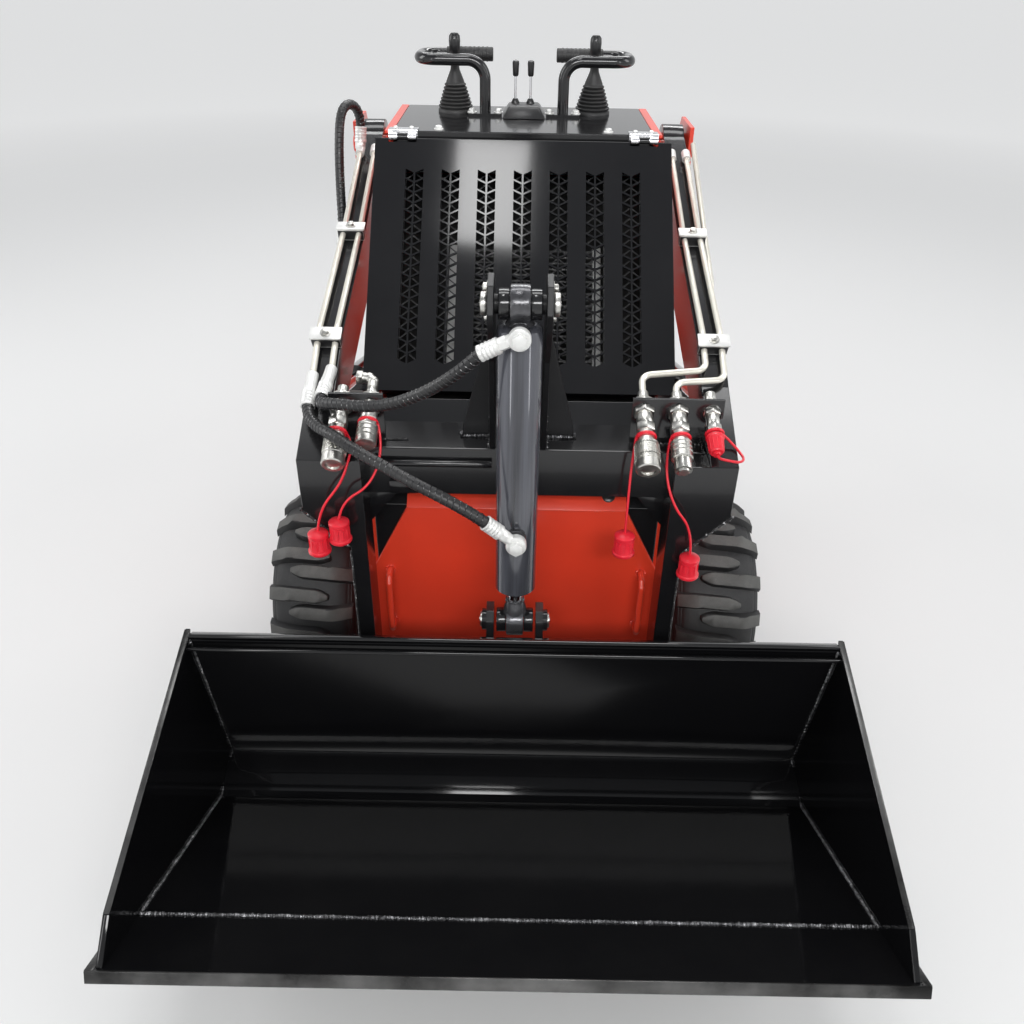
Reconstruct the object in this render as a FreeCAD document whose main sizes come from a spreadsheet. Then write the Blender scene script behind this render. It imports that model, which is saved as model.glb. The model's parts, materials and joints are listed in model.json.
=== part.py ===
import FreeCAD, Part
import Sketcher
import math
import os
import re

# Compact wheeled skid steer loader, stood on from behind.
# Millimetres; +X to the machine's left, -Y forward to the bucket, +Z up, wheels resting on z = 0.
# Columns: name, value, meaning
SIZES = [
    ("tyre_diameter", 457, "over the lugs"),
    ("tyre_width", 178, "over the shoulders"),
    ("lug_height", 17, "tread lug above the carcass"),
    ("lug_width", 32, "tread lug along the tread"),
    ("lug_bevel", 26, "drop of a lug's outer end at the shoulder"),
    ("rim_diameter", 203, "bead seat"),
    ("rim_wall", 6, "rim and disc plate"),
    ("wheel_centre_across", 433.5, "middle of the tyre from the centre plane"),
    ("front_axle_along", -123, "front axle"),
    ("rear_axle_along", 500, "rear axle"),
    ("axle_radius", 25, "stub axle"),
    ("running_clearance", 0.05, "radial, pin or shaft in its bore"),
    ("hub_radius", 46, "wheel hub"),
    ("motor_radius", 62, "wheel motor"),
    ("motor_end_across", 384, "wheel motor's outer face"),
    ("side_half_width", 281, "outer face of the body's side panels"),
    ("panel_wall", 6, "body sheet"),
    ("belly_height", 130, "underside of the body"),
    ("front_face_along", -345, "front panel's outer face"),
    ("front_plate_wall", 10, "front panel"),
    ("front_plate_half_width", 285, "front panel"),
    ("front_plate_top", 600, "front panel"),
    ("front_corner_cut", 75, "sloping cut of the front panel's upper corners"),
    ("cowl_knee_along", -295, "where the cowl's two slopes meet"),
    ("cowl_knee_height", 640, "where the cowl's two slopes meet"),
    ("cowl_lead", 7, "cowl's top in front of the hood's lower edge"),
    ("cowl_drop", 13, "cowl's top below the hood's lower edge"),
    ("hood_hinge_along", 215, "hood's hinge line"),
    ("hood_hinge_drop", 10, "hood's hinge line below the console's top"),
    ("hood_slope", 45.9, "hood from level, in degrees"),
    ("hood_length", 555, "along the slope"),
    ("hood_half_width", 310, "hood"),
    ("hood_wall", 5, "hood sheet"),
    ("hood_skirt", 24, "depth of the hood's turned edge"),
    ("hood_gap", 8, "hood over the side panels"),
    ("grille_rows", 18, "slots along a column"),
    ("grille_column_pitch", 75, "hood grille"),
    ("grille_row_pitch", 23.4, "hood grille"),
    ("grille_start", 81, "hood's hinge line to the first slot's inner corner"),
    ("grille_margin", 4, "strip round a column of slots"),
    ("slot_width", 17, "each slanted slot"),
    ("slot_length", 19.5, "each slanted slot, along the hood"),
    ("slot_lean", 8.5, "rise of a slot's outer end"),
    ("slot_rib_half", 1.8, "rib between the two slots of a row"),
    ("butt_inner_across", 225, "hood's butt hinges"),
    ("butt_outer_across", 281, "hood's butt hinges"),
    ("butt_knuckle_length", 16, "each outer knuckle of a butt hinge"),
    ("butt_knuckle_radius", 8, "knuckles of a butt hinge"),
    ("butt_pin_radius", 4, "pin of a butt hinge"),
    ("butt_end_gap", 1.5, "between neighbouring knuckles"),
    ("console_front_along", 226, "console"),
    ("console_rear_along", 548, "console"),
    ("console_depth", 85, "console below its top"),
    ("console_top_height", 1170, "console"),
    ("console_flange", 11, "side panels' turned top edge"),
    ("rear_slope_top_along", 560, "rear panel at the console"),
    ("rear_face_along", 655, "rear panel, upright part"),
    ("rear_knee_height", 600, "foot of the rear panel's slope"),
    ("upright_inner_across", 306, "inner plate of the rear uprights"),
    ("upright_outer_across", 394, "inside of the outer plate"),
    ("upright_wall", 10, "upright plate"),
    ("upright_foot_height", 485, "bottom edge, over the rear tyre"),
    ("upright_top_height", 1140, "top edge"),
    ("upright_rear_along", 674, "rear web's outer face"),
    ("arm_pivot_along", 550, "lift arm's rear pivot"),
    ("arm_pivot_height", 1080, "lift arm's rear pivot"),
    ("arm_pivot_pin_radius", 20, "lift arm's rear pin"),
    ("arm_boss_radius", 56, "rear end of the arm"),
    ("arm_inner_across", 335, "inner face of the arm"),
    ("arm_outer_across", 385, "outer face of the arm"),
    ("arm_wall", 8, "arm plates round the cylinder's slot"),
    ("arm_depth", 118, "boom, square to its top"),
    ("arm_shoulder_along", 144, "start of the boom's steeper slope"),
    ("arm_shoulder_height", 980, "start of the boom's steeper slope"),
    ("arm_bend_along", -188, "second bend of the boom's top"),
    ("arm_bend_height", 885, "second bend of the boom's top"),
    ("arm_knee_along", -281, "third bend of the boom's top"),
    ("arm_knee_height", 832, "third bend of the boom's top"),
    ("arm_nose_along", -440, "front face of the leg"),
    ("arm_nose_height", 754, "front end of the boom's top"),
    ("leg_rear_along", -368, "rear face of the leg"),
    ("leg_inner_across", 274, "inner face of the leg"),
    ("leg_outer_across", 304, "outer face of the leg below its taper"),
    ("leg_taper_height", 570, "foot of the leg's taper"),
    ("leg_boss_radius", 42, "lower end of the leg"),
    ("hitch_pivot_along", -440, "bucket hinge"),
    ("hitch_pivot_height", 170, "bucket hinge"),
    ("hitch_pin_radius", 16, "bucket hinge pin"),
    ("lift_eye_along", -240, "lift cylinder's rod eye on the arm"),
    ("lift_eye_height", 775, "lift cylinder's rod eye on the arm"),
    ("lift_base_along", 620, "lift cylinder's base pin"),
    ("lift_base_height", 520, "lift cylinder's base pin"),
    ("lift_pin_radius", 14, "lift cylinder's pins"),
    ("lift_eye_radius", 28, "lift cylinder's eyes"),
    ("lift_eye_width", 30, "lift cylinder's eyes"),
    ("lift_barrel_radius", 27, "lift cylinder's barrel"),
    ("lift_bore_radius", 22, "lift cylinder's bore"),
    ("lift_rod_radius", 14, "lift cylinder's rod"),
    ("lift_rod_out", 277, "lift cylinder's rod eye from its gland, arms down"),
    ("lift_piston_start", 92, "piston's back face from the base pin"),
    ("beam_front_along", -392, "cross-member"),
    ("beam_rear_along", -290, "cross-member"),
    ("beam_foot_height", 660, "cross-member"),
    ("beam_top_height", 756, "cross-member"),
    ("tilt_base_along", -475, "tilt cylinder's base pin"),
    ("tilt_base_height", 1055, "tilt cylinder's base pin"),
    ("tilt_eye_along", -505, "tilt cylinder's rod eye"),
    ("tilt_eye_height", 460, "tilt cylinder's rod eye"),
    ("tower_inner_across", 40, "inside of the tower's plates"),
    ("tower_wall", 10, "tower plate"),
    ("tilt_pin_radius", 15, "tilt cylinder's pins"),
    ("tilt_eye_radius", 32, "tilt cylinder's eyes"),
    ("tilt_eye_half_width", 34, "tilt cylinder's eyes"),
    ("tilt_barrel_radius", 36, "tilt cylinder's barrel"),
    ("tilt_bore_radius", 30, "tilt cylinder's bore"),
    ("tilt_rod_radius", 14, "tilt cylinder's rod"),
    ("tilt_rod_out", 75, "tilt cylinder's rod eye from its gland, bucket rolled back"),
    ("tilt_piston_start", 140, "piston's back face from the base pin"),
    ("tilt_head_port", 36, "barrel's upper port from the base pin"),
    ("tilt_rod_port", 128, "barrel's lower port from its gland's face"),
    ("piston_length", 22, "both cylinders"),
    ("gland_length", 30, "both cylinders"),
    ("bucket_rollback", 23.7, "bucket's floor from level, in degrees"),
    ("bucket_half_width", 575, "inside the side plates"),
    ("bucket_side_wall", 10, "side plate"),
    ("bucket_sheet", 8, "floor and back"),
    ("bucket_floor_height", -155, "under the floor, from the hinge with the floor level"),
    ("bucket_floor_front", -512, "from the hinge"),
    ("bucket_floor_rear", -125, "from the hinge"),
    ("bucket_heel_along", -38, "top of the heel facet"),
    ("bucket_heel_height", -89, "top of the heel facet"),
    ("bucket_back_along", -250, "top of the back"),
    ("bucket_back_height", 218, "top of the back"),
    ("edge_tip_along", -645, "cutting edge"),
    ("edge_wall", 16, "cutting edge"),
    ("edge_half_width", 598, "cutting edge"),
    ("side_nose_along", -609, "front of the side plate's top edge"),
    ("side_nose_height", -85, "front of the side plate's top edge"),
    ("hitch_plate_half_width", 262, "hitch plate on the bucket's back"),
    ("hitch_plate_wall", 12, "hitch plate"),
    ("hitch_ear_wall", 14, "hitch ears"),
    ("hitch_plate_foot", 8, "hitch plate's lower edge, up the bucket's back from its heel"),
    ("hitch_plate_top", 300, "hitch plate's upper edge, up the bucket's back from its heel"),
    ("outer_ear_top", 150, "outer ears, up the bucket's back from its heel"),
    ("outer_ear_rise", 90, "outer ears' shoulder, up the bucket's back from its heel"),
    ("outer_ear_stand", 78, "outer ears' shoulder, square to the bucket's back"),
    ("hinge_ear_reach", 36, "outer ears beyond the hinge's centre"),
    ("ear_clearance", 4, "beside a leg or a cylinder's eye"),
    ("platform_hinge_along", 690, "step's hinge"),
    ("platform_hinge_height", 205, "step's hinge"),
    ("platform_rear_along", 1091, "step's rear edge"),
    ("platform_half_width", 250, "step"),
    ("platform_wall", 6, "step plate"),
    ("platform_rim", 40, "step's turned edge"),
    ("handle_tube_radius", 12.5, "hand rails"),
    ("handle_rise", 113, "middle of the hand rails above the console"),
    ("handle_post_across", 88, "rail's post"),
    ("handle_post_along", 425, "rail's post"),
    ("handle_rear_along", 533, "rear run of the rail"),
    ("handle_outer_across", 236, "middle of the rail's outer run"),
    ("handle_inner_across", 75, "open end of the rail's rear run"),
    ("handle_bend", 40, "rail's bend"),
    ("stick_across", 158, "control stick"),
    ("stick_along", 467, "control stick"),
    ("boot_radius", 40, "control stick's boot"),
    ("boot_rise", 88, "control stick's boot above the console"),
    ("stick_rise", 162, "control stick's top above the console"),
    ("switch_half_width", 50, "switch housing between the rails"),
    ("switch_front_along", 375, "switch housing between the rails"),
    ("switch_rear_along", 480, "switch housing between the rails"),
    ("switch_rise", 24, "switch housing above the console"),
    ("lever_along", 440, "small levers on the switch housing"),
    ("lever_length", 80, "small levers on the switch housing"),
    ("tube_radius", 6, "hydraulic line"),
    ("tube_near_across", 343, "inner line on the arm"),
    ("tube_far_across", 376, "outer line on the arm"),
    ("tube_stand", 14, "middle of a line above the arm"),
    ("tube_bend", 22, "hydraulic line's bend"),
    ("coupler_radius", 16, "quick coupler's body"),
    ("sleeve_radius", 19, "quick coupler's sleeve"),
    ("coupler_slope", 26, "couplers from level, in degrees"),
    ("coupler_plate_along", -358, "coupler bracket"),
    ("coupler_height", 822, "couplers' line at the bracket"),
    ("coupler_length", 132, "coupler in front of the bracket"),
    ("coupler_tail", 24, "coupler behind the bracket"),
    ("short_coupler_cut", 42, "shorter couplers, less than the others"),
    ("outside_line_across", 396, "line along the left arm's outer face"),
    ("hose_radius", 10, "tilt cylinder's hoses with their guard"),
    ("engine_half_width", 190, "engine block"),
    ("engine_front_along", 70, "engine block"),
    ("engine_rear_along", 470, "engine block"),
    ("engine_foot_height", 300, "engine block"),
    ("engine_top_height", 780, "engine block"),
]

doc = FreeCAD.newDocument("SkidSteerLoader")
sheet = doc.addObject("Spreadsheet::Sheet", "Sizes")
for row, (name, value, meaning) in enumerate(SIZES, start=1):
    sheet.set("A%d" % row, name)
    sheet.set("B%d" % row, str(value))
    sheet.set("C%d" % row, meaning)
    sheet.setAlias("B%d" % row, name)
doc.recompute()

NAMES = {name for name, value, meaning in SIZES}
AXIS_TURN = {
    "X": FreeCAD.Rotation(FreeCAD.Vector(0, 1, 0), 90),
    "Y": FreeCAD.Rotation(FreeCAD.Vector(1, 0, 0), -90),
    "Z": FreeCAD.Rotation(),
}
LUGS = 16
GRILLE_COLUMNS = 7
GRILLE_STRIP = [
    ("%d * (slot_rib_half + slot_width + grille_margin)" % side, along)
    for side, along in (
        (-1, "-grille_start - (grille_rows - 1) * grille_row_pitch - slot_length - grille_margin"),
        (1, "-grille_start - (grille_rows - 1) * grille_row_pitch - slot_length - grille_margin"),
        (1, "slot_lean + grille_margin - grille_start"), (-1, "slot_lean + grille_margin - grille_start"),
    )
]
HOOD_HINGE = ("hood_hinge_along", "console_top_height - hood_hinge_drop")
CONSOLE_BASE = "console_top_height - console_depth"
nodes = []
cords = []


def formula(text):
    """The text with each size's name pointing at its cell."""
    return re.sub(r"[a-z]\w*", lambda word: "Sizes." + word[0] if word[0] in NAMES else word[0], str(text))


def size(text):
    """The value of a formula of size names."""
    found = sheet.evalExpression(formula(text))
    return float(getattr(found, "Value", found))


def bind(item, **places):
    """Ties properties of an item to formulas; a double underscore stands for a dot."""
    for place, text in places.items():
        item.setExpression(place.replace("__", "."), formula(text))


def node(label, item):
    """Names a finished sub-part; its file takes the same name."""
    item.Label = label
    nodes.append(item)
    return item


def outline(body, plane, corners, level):
    """Closed sketch of straight edges on an origin plane, each corner tied to its two formulas."""
    sketch = body.newObject("Sketcher::SketchObject", body.Name + "Outline")
    support = next(part for part in body.Origin.OriginFeatures if part.Role == plane)
    sketch.AttachmentSupport = [(support, "")]
    sketch.MapMode = "FlatFace"
    bind(sketch, AttachmentOffset__Base__z=level)
    spots = [FreeCAD.Vector(size(across), size(up), 0) for across, up in corners]
    count = len(spots)
    for number, spot in enumerate(spots):
        sketch.addGeometry(Part.LineSegment(spot, spots[(number + 1) % count]), False)
    for number in range(count):
        sketch.addConstraint(Sketcher.Constraint("Coincident", number, 2, (number + 1) % count, 1))
    for number, (corner, spot) in enumerate(zip(corners, spots)):
        for kind, text, value in (("DistanceX", corner[0], spot.x), ("DistanceY", corner[1], spot.y)):
            held = sketch.addConstraint(Sketcher.Constraint(kind, -1, 1, number, 1, value))
            if isinstance(text, str):
                sketch.setExpression("Constraints[%d]" % held, formula(text))
    return sketch


def plate(body, plane, corners, low, high):
    """Adds a pad between two levels square to the plane."""
    level = "-(%s)" % high if plane == "XZ_Plane" else low
    pad = body.newObject("PartDesign::Pad", body.Name + "Pad")
    pad.Profile = outline(body, plane, corners, level)
    bind(pad, Length="(%s) - (%s)" % (high, low))
    return pad


def opening(body, plane, corners, low, high):
    """Cuts a pocket between two levels square to the plane."""
    level = "-(%s)" % low if plane == "XZ_Plane" else high
    pocket = body.newObject("PartDesign::Pocket", body.Name + "Pocket")
    pocket.Profile = outline(body, plane, corners, level)
    bind(pocket, Length="(%s) - (%s)" % (high, low))
    return pocket


def new_body(name):
    return doc.addObject("PartDesign::Body", name)


def turned(name, corners, axis="V_Axis"):
    """Body revolved from a half profile in the XZ plane."""
    body = new_body(name)
    turn = body.newObject("PartDesign::Revolution", name + "Turn")
    sketch = outline(body, "XZ_Plane", corners, "0")
    turn.Profile = sketch
    turn.ReferenceAxis = (sketch, [axis])
    turn.Angle = 360
    return body


def block(name, low, high):
    """Box between two corners given as formulas."""
    box = doc.addObject("Part::Box", name)
    bind(box, Length="(%s) - (%s)" % (high[0], low[0]), Width="(%s) - (%s)" % (high[1], low[1]),
         Height="(%s) - (%s)" % (high[2], low[2]),
         Placement__Base__x=low[0], Placement__Base__y=low[1], Placement__Base__z=low[2])
    return box


def bar(name, axis, start, radius, length):
    """Round bar along a main axis from a start point."""
    item = doc.addObject("Part::Cylinder", name)
    item.Placement = FreeCAD.Placement(FreeCAD.Vector(), AXIS_TURN[axis])
    bind(item, Radius=radius, Height=length,
         Placement__Base__x=start[0], Placement__Base__y=start[1], Placement__Base__z=start[2])
    return item


def fuse(name, items):
    item = doc.addObject("Part::MultiFuse", name)
    item.Shapes = items
    return item


def cut(name, base, tool):
    item = doc.addObject("Part::Cut", name)
    item.Base = base
    item.Tool = tool
    return item


def mirrored(name, source):
    item = doc.addObject("Part::Mirroring", name)
    item.Source = source
    item.Base = FreeCAD.Vector(0, 0, 0)
    item.Normal = FreeCAD.Vector(1, 0, 0)
    return item


def together(name, items):
    item = doc.addObject("Part::Compound", name)
    item.Links = items
    return item


def both_sides(name, source):
    return together(name, [source, mirrored(name + "Mirror", source)])


def lean(item, along, height, angle):
    """Sets an item made round its own origin at a point of the side view and tips it about X."""
    item.Placement = FreeCAD.Placement(FreeCAD.Vector(), FreeCAD.Rotation(FreeCAD.Vector(1, 0, 0), 1))
    bind(item, Placement__Base__y=along, Placement__Base__z=height, Placement__Rotation__Angle=angle)
    return item


def folded(points, wall):
    """Corners of a bent sheet: the given outer line, then its inner line one wall to the left."""
    spots = [FreeCAD.Vector(size(across), size(up), 0) for across, up in points]
    runs = [(after - before).normalize() for before, after in zip(spots, spots[1:])]
    inner = []
    for number, spot in enumerate(spots):
        before = runs[max(number - 1, 0)]
        after = runs[min(number, len(runs) - 1)]
        halfway = (before + after).normalize()
        side = FreeCAD.Vector(-halfway.y, halfway.x, 0)
        inner.append(spot + side * (size(wall) / halfway.dot(before)))
    return list(points) + [(spot.x, spot.y) for spot in reversed(inner)]


def route(name, points, bend):
    """Wire of straight runs joined by tangent arcs; bend is a radius, or None for the largest that fits."""
    spots = [FreeCAD.Vector(*[size(value) for value in point]) for point in points]
    edges = []
    radii = []
    start = spots[0]
    for before, corner, after in zip(spots, spots[1:], spots[2:]):
        inward = (before - corner).normalize()
        outward = (after - corner).normalize()
        half_turn = (math.pi - inward.getAngle(outward)) / 2
        shorter = min((before - corner).Length, (after - corner).Length)
        radius = size(bend) if bend else 0.45 * shorter / math.tan(half_turn)
        radii.append(radius)
        back = radius * math.tan(half_turn)
        first = corner + inward * back
        last = corner + outward * back
        bisector = (inward + outward).normalize()
        middle = corner + bisector * (radius / math.cos(half_turn) - radius)
        edges.append(Part.LineSegment(start, first).toShape())
        edges.append(Part.Arc(first, middle, last).toShape())
        start = last
    edges.append(Part.LineSegment(start, spots[-1]).toShape())
    wire = doc.addObject("Part::Feature", name)
    wire.Shape = Part.Wire(edges)
    return wire, radii


def tube(name, points, radius, bend):
    """Round solid swept along a route."""
    wire, radii = route(name + "Route", points, bend)
    ring = doc.addObject("Part::Circle", name + "Ring")
    bind(ring, Radius=radius)
    first, second = [FreeCAD.Vector(*[size(value) for value in point]) for point in points[:2]]
    turn = FreeCAD.Rotation(FreeCAD.Vector(0, 0, 1), second - first)
    ring.Placement = FreeCAD.Placement(first, turn)
    sweep = doc.addObject("Part::Sweep", name)
    sweep.Sections = [ring]
    sweep.Spine = (wire, ["Edge%d" % (number + 1) for number in range(len(wire.Shape.Edges))])
    sweep.Solid = True
    sweep.Frenet = False
    return sweep, wire, radii


def by_hood(along, rise):
    """Side-view point given along the hood's slope from its hinge and square to it."""
    return ("%s + (%s) * cos(hood_slope * 1deg) - (%s) * sin(hood_slope * 1deg)" % (HOOD_HINGE[0], along, rise),
            "%s + (%s) * sin(hood_slope * 1deg) + (%s) * cos(hood_slope * 1deg)" % (HOOD_HINGE[1], along, rise))


def cowl_top():
    along, height = by_hood("-hood_length", "0")
    return ("%s - cowl_lead" % along, "%s - cowl_drop" % height)


def chassis_sides():
    """Side panel: flat sheet from the belly to the hood's slope and the console, with a turned top edge."""
    slope_in = "(hood_wall + hood_gap)"
    under_hinge = "%s - %s / cos(hood_slope * 1deg)" % (HOOD_HINGE[1], slope_in)
    corners = [
        ("front_face_along + front_plate_wall", "belly_height"),
        ("front_face_along + front_plate_wall", "front_plate_top"),
        ("cowl_knee_along", "cowl_knee_height"),
        cowl_top(),
        by_hood("-hood_length - hood_gap", "-hood_skirt - hood_gap"),
        by_hood("-hood_length + hood_wall + hood_gap", "-hood_skirt - hood_gap"),
        by_hood("-hood_length + hood_wall + hood_gap", "-%s" % slope_in),
        ("hood_hinge_along", under_hinge),
        ("console_front_along", under_hinge),
        ("console_front_along", "console_top_height"),
        ("console_rear_along", "console_top_height"),
        ("rear_slope_top_along", CONSOLE_BASE),
        ("rear_face_along", "rear_knee_height"),
        ("rear_face_along", "belly_height"),
    ]
    body = new_body("SidePanel")
    plate(body, "YZ_Plane", corners, "side_half_width - panel_wall", "side_half_width")
    flange = [
        ("console_front_along", "console_top_height - panel_wall"),
        ("console_rear_along", "console_top_height - panel_wall"),
        ("console_rear_along", "console_top_height"),
        ("console_front_along", "console_top_height"),
    ]
    plate(body, "YZ_Plane", flange, "side_half_width", "side_half_width + console_flange")
    node("side_panels", both_sides("SidePanels", body))


def chassis_floor():
    body = new_body("BellyPlate")
    corners = [
        ("front_face_along + front_plate_wall", "belly_height"),
        ("rear_face_along - panel_wall", "belly_height"),
        ("rear_face_along - panel_wall", "belly_height + front_plate_wall"),
        ("front_face_along + front_plate_wall", "belly_height + front_plate_wall"),
    ]
    plate(body, "YZ_Plane", corners, "panel_wall - side_half_width", "side_half_width - panel_wall")
    node("belly_plate", body)


def front_panel():
    """Thick front plate with its upper corners cut on a slope."""
    body = new_body("FrontPlate")
    across = "front_plate_half_width"
    corners = [
        ("-%s" % across, "belly_height"),
        (across, "belly_height"),
        (across, "front_plate_top - 2 * front_corner_cut"),
        ("%s - front_corner_cut" % across, "front_plate_top"),
        ("front_corner_cut - %s" % across, "front_plate_top"),
        ("-%s" % across, "front_plate_top - 2 * front_corner_cut"),
    ]
    plate(body, "XZ_Plane", corners, "front_face_along", "front_face_along + front_plate_wall")
    node("front_panel", body)


def front_cowl():
    """Bent sheet behind the front plate, up to the hood's lower edge."""
    line = [
        cowl_top(),
        ("cowl_knee_along", "cowl_knee_height"),
        ("front_face_along + front_plate_wall", "front_plate_top"),
        ("front_face_along + front_plate_wall", "front_plate_top - 2.4 * front_corner_cut"),
    ]
    body = new_body("FrontCowl")
    plate(body, "YZ_Plane", folded(line, "panel_wall"),
          "panel_wall - side_half_width", "side_half_width - panel_wall")
    node("front_cowl", body)


def rear_panel():
    line = [
        ("rear_face_along", "belly_height"),
        ("rear_face_along", "rear_knee_height"),
        ("rear_slope_top_along", CONSOLE_BASE),
    ]
    body = new_body("RearPanel")
    plate(body, "YZ_Plane", folded(line, "panel_wall"),
          "panel_wall - side_half_width", "side_half_width - panel_wall")
    node("rear_panel", body)


def console():
    """Closed housing of the controls between the side panels."""
    body = new_body("Console")
    corners = [
        ("console_front_along", CONSOLE_BASE),
        ("rear_slope_top_along - panel_wall", CONSOLE_BASE),
        ("console_rear_along", "console_top_height"),
        ("console_front_along", "console_top_height"),
    ]
    plate(body, "YZ_Plane", corners, "panel_wall - side_half_width", "side_half_width - panel_wall")
    node("console", body)


def uprights():
    """Channel behind each arm: two plates, a rear web, a foot on the side panel and the arm's pins."""
    corners = [
        ("arm_pivot_along - 60", "upright_top_height"),
        ("arm_pivot_along + 85", "upright_top_height"),
        ("upright_rear_along", "upright_top_height - 45"),
        ("upright_rear_along", "upright_foot_height"),
        ("lift_base_along - 58", "upright_foot_height"),
        ("arm_pivot_along - 60", "arm_pivot_height - 90"),
    ]
    web = [
        ("upright_rear_along - upright_wall", "upright_foot_height"),
        ("upright_rear_along", "upright_foot_height"),
        ("upright_rear_along", "upright_top_height - 45"),
        ("upright_rear_along - upright_wall", "upright_top_height - 45"),
    ]
    foot = [
        ("lift_base_along - 58", "upright_foot_height"),
        ("rear_face_along - panel_wall", "upright_foot_height"),
        ("rear_face_along - panel_wall", "rear_knee_height"),
        ("lift_base_along - 58", "rear_knee_height"),
    ]
    body = new_body("Upright")
    inner = "upright_inner_across"
    outer = "upright_outer_across"
    plate(body, "YZ_Plane", corners, inner, "%s + upright_wall" % inner)
    plate(body, "YZ_Plane", corners, outer, "%s + upright_wall" % outer)
    plate(body, "YZ_Plane", web, "%s + upright_wall" % inner, outer)
    plate(body, "YZ_Plane", foot, "side_half_width", inner)
    pins = [
        bar("ArmPin", "X", (inner, "arm_pivot_along", "arm_pivot_height"),
            "arm_pivot_pin_radius", "%s + 2 * upright_wall - %s" % (outer, inner)),
        bar("LiftBasePin", "X", (inner, "lift_base_along", "lift_base_height"),
            "lift_pin_radius", "%s + 2 * upright_wall - %s" % (outer, inner)),
    ]
    node("uprights", both_sides("Uprights", fuse("UprightWithPins", [body] + pins)))


def engine():
    block_item = block("EngineBlock", ("-engine_half_width", "engine_front_along", "engine_foot_height"),
                       ("engine_half_width", "engine_rear_along", "engine_top_height"))
    rails = [block("EngineRail%d" % side,
                   ("%d * engine_half_width - 25" % side, "engine_front_along", "belly_height + front_plate_wall"),
                   ("%d * engine_half_width + 25" % side, "engine_rear_along", "engine_foot_height"))
             for side in (-1, 1)]
    node("engine_block", fuse("EngineOnRails", [block_item] + rails))


def wheel_motors():
    """Wheel motor on the side panel and the stub axle that carries a wheel, four times."""
    stubs = []
    for along in ("front_axle_along", "rear_axle_along"):
        motor = bar("WheelMotor", "X", ("side_half_width", along, "tyre_diameter / 2"),
                    "motor_radius", "motor_end_across - side_half_width")
        axle = bar("StubAxle", "X", ("side_half_width", along, "tyre_diameter / 2"),
                   "axle_radius", "wheel_centre_across + 30 - side_half_width")
        stubs.append(fuse("AxleEnd", [motor, axle]))
    pair = together("AxleEnds", stubs)
    node("wheel_axles", both_sides("WheelAxles", pair))


def facet_ring(name, profile, count):
    """Ring of flat facets round X, from a closed half profile; a facet's middle points straight up."""
    spots = [(size(across), size(out) / math.cos(math.pi / count)) for across, out in profile]

    def corner(spot, turn):
        angle = (2 * turn + 1) * math.pi / count
        return FreeCAD.Vector(spot[0], -spot[1] * math.sin(angle), spot[1] * math.cos(angle))

    faces = []
    for first, last in zip(spots, spots[1:] + spots[:1]):
        for turn in range(count):
            corners = [corner(first, turn), corner(last, turn), corner(last, turn + 1), corner(first, turn + 1)]
            faces.append(Part.Face(Part.makePolygon(corners + corners[:1])))
    item = doc.addObject("Part::Feature", name)
    item.Shape = Part.makeSolid(Part.makeShell(faces))
    return item


def tyre():
    """Carcass with one rounded lug on every facet, from the left and the right shoulder in turn."""
    half = "tyre_width / 2"
    crown = "tyre_diameter / 2"
    side = [
        ("0.72 * %s" % half, "rim_diameter / 2"), (half, "%s - 58" % crown),
        ("0.74 * %s" % half, "%s - lug_height" % crown),
    ]
    carcass = facet_ring("Carcass", side + [("-" + across, out) for across, out in side[::-1]], 2 * LUGS)
    lug = new_body("Lug")
    plan = [
        (half, "-lug_width / 2"), (half, "lug_width / 2"), ("-0.26 * %s" % half, "lug_width / 2"),
        ("-0.48 * %s" % half, "0"), ("-0.26 * %s" % half, "-lug_width / 2"),
    ]
    plate(lug, "XY_Plane", plan, "%s - 50" % crown, crown)
    bevel = [("0.6 * %s" % half, crown), ("%s + 1" % half, "%s - lug_bevel" % crown), ("%s + 1" % half, crown + " + 1")]
    opening(lug, "XZ_Plane", bevel, "-lug_width", "lug_width")
    lugs = []
    for number in range(2 * LUGS):
        turn = FreeCAD.Rotation(FreeCAD.Vector(1, 0, 0), 180 * number / LUGS)
        if number % 2:
            turn = turn * FreeCAD.Rotation(FreeCAD.Vector(0, 0, 1), 180)
        placed = together("PlacedLug", [lug])
        placed.Placement = FreeCAD.Placement(FreeCAD.Vector(), turn)
        lugs.append(placed)
    return fuse("TyreWithLugs", [carcass] + lugs)


def wheels():
    """Tyres and rims; each rim's disc faces outwards."""
    half = "tyre_width / 2"
    bead = "rim_diameter / 2"
    rim_half = [
        ("-0.72 * %s" % half, bead),
        ("-0.72 * %s" % half, "%s - rim_wall" % bead),
        ("10", "%s - rim_wall" % bead),
        ("10", "hub_radius"),
        ("-40", "hub_radius"),
        ("-40", "axle_radius + running_clearance"),
        ("34", "axle_radius + running_clearance"),
        ("34", "hub_radius"),
        ("10 + rim_wall", "hub_radius"),
        ("10 + rim_wall", "%s - rim_wall" % bead),
        ("0.72 * %s" % half, "%s - rim_wall" % bead),
        ("0.72 * %s" % half, bead),
    ]
    sources = {"tyre": tyre(), "rim": turned("Rim", rim_half, "H_Axis")}
    for side, sign in (("left", 1), ("right", -1)):
        for end in ("front", "rear"):
            for kind, source in sources.items():
                item = together("%s%s%s" % (kind.title(), end.title(), side.title()), [source])
                if kind == "rim" and sign < 0:
                    item.Placement = FreeCAD.Placement(FreeCAD.Vector(), FreeCAD.Rotation(180, 0, 0))
                bind(item, Placement__Base__x="%d * wheel_centre_across" % sign,
                     Placement__Base__y="%s_axle_along" % end, Placement__Base__z="tyre_diameter / 2")
                node("%s_%s_%s" % (kind, end, side), item)


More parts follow.
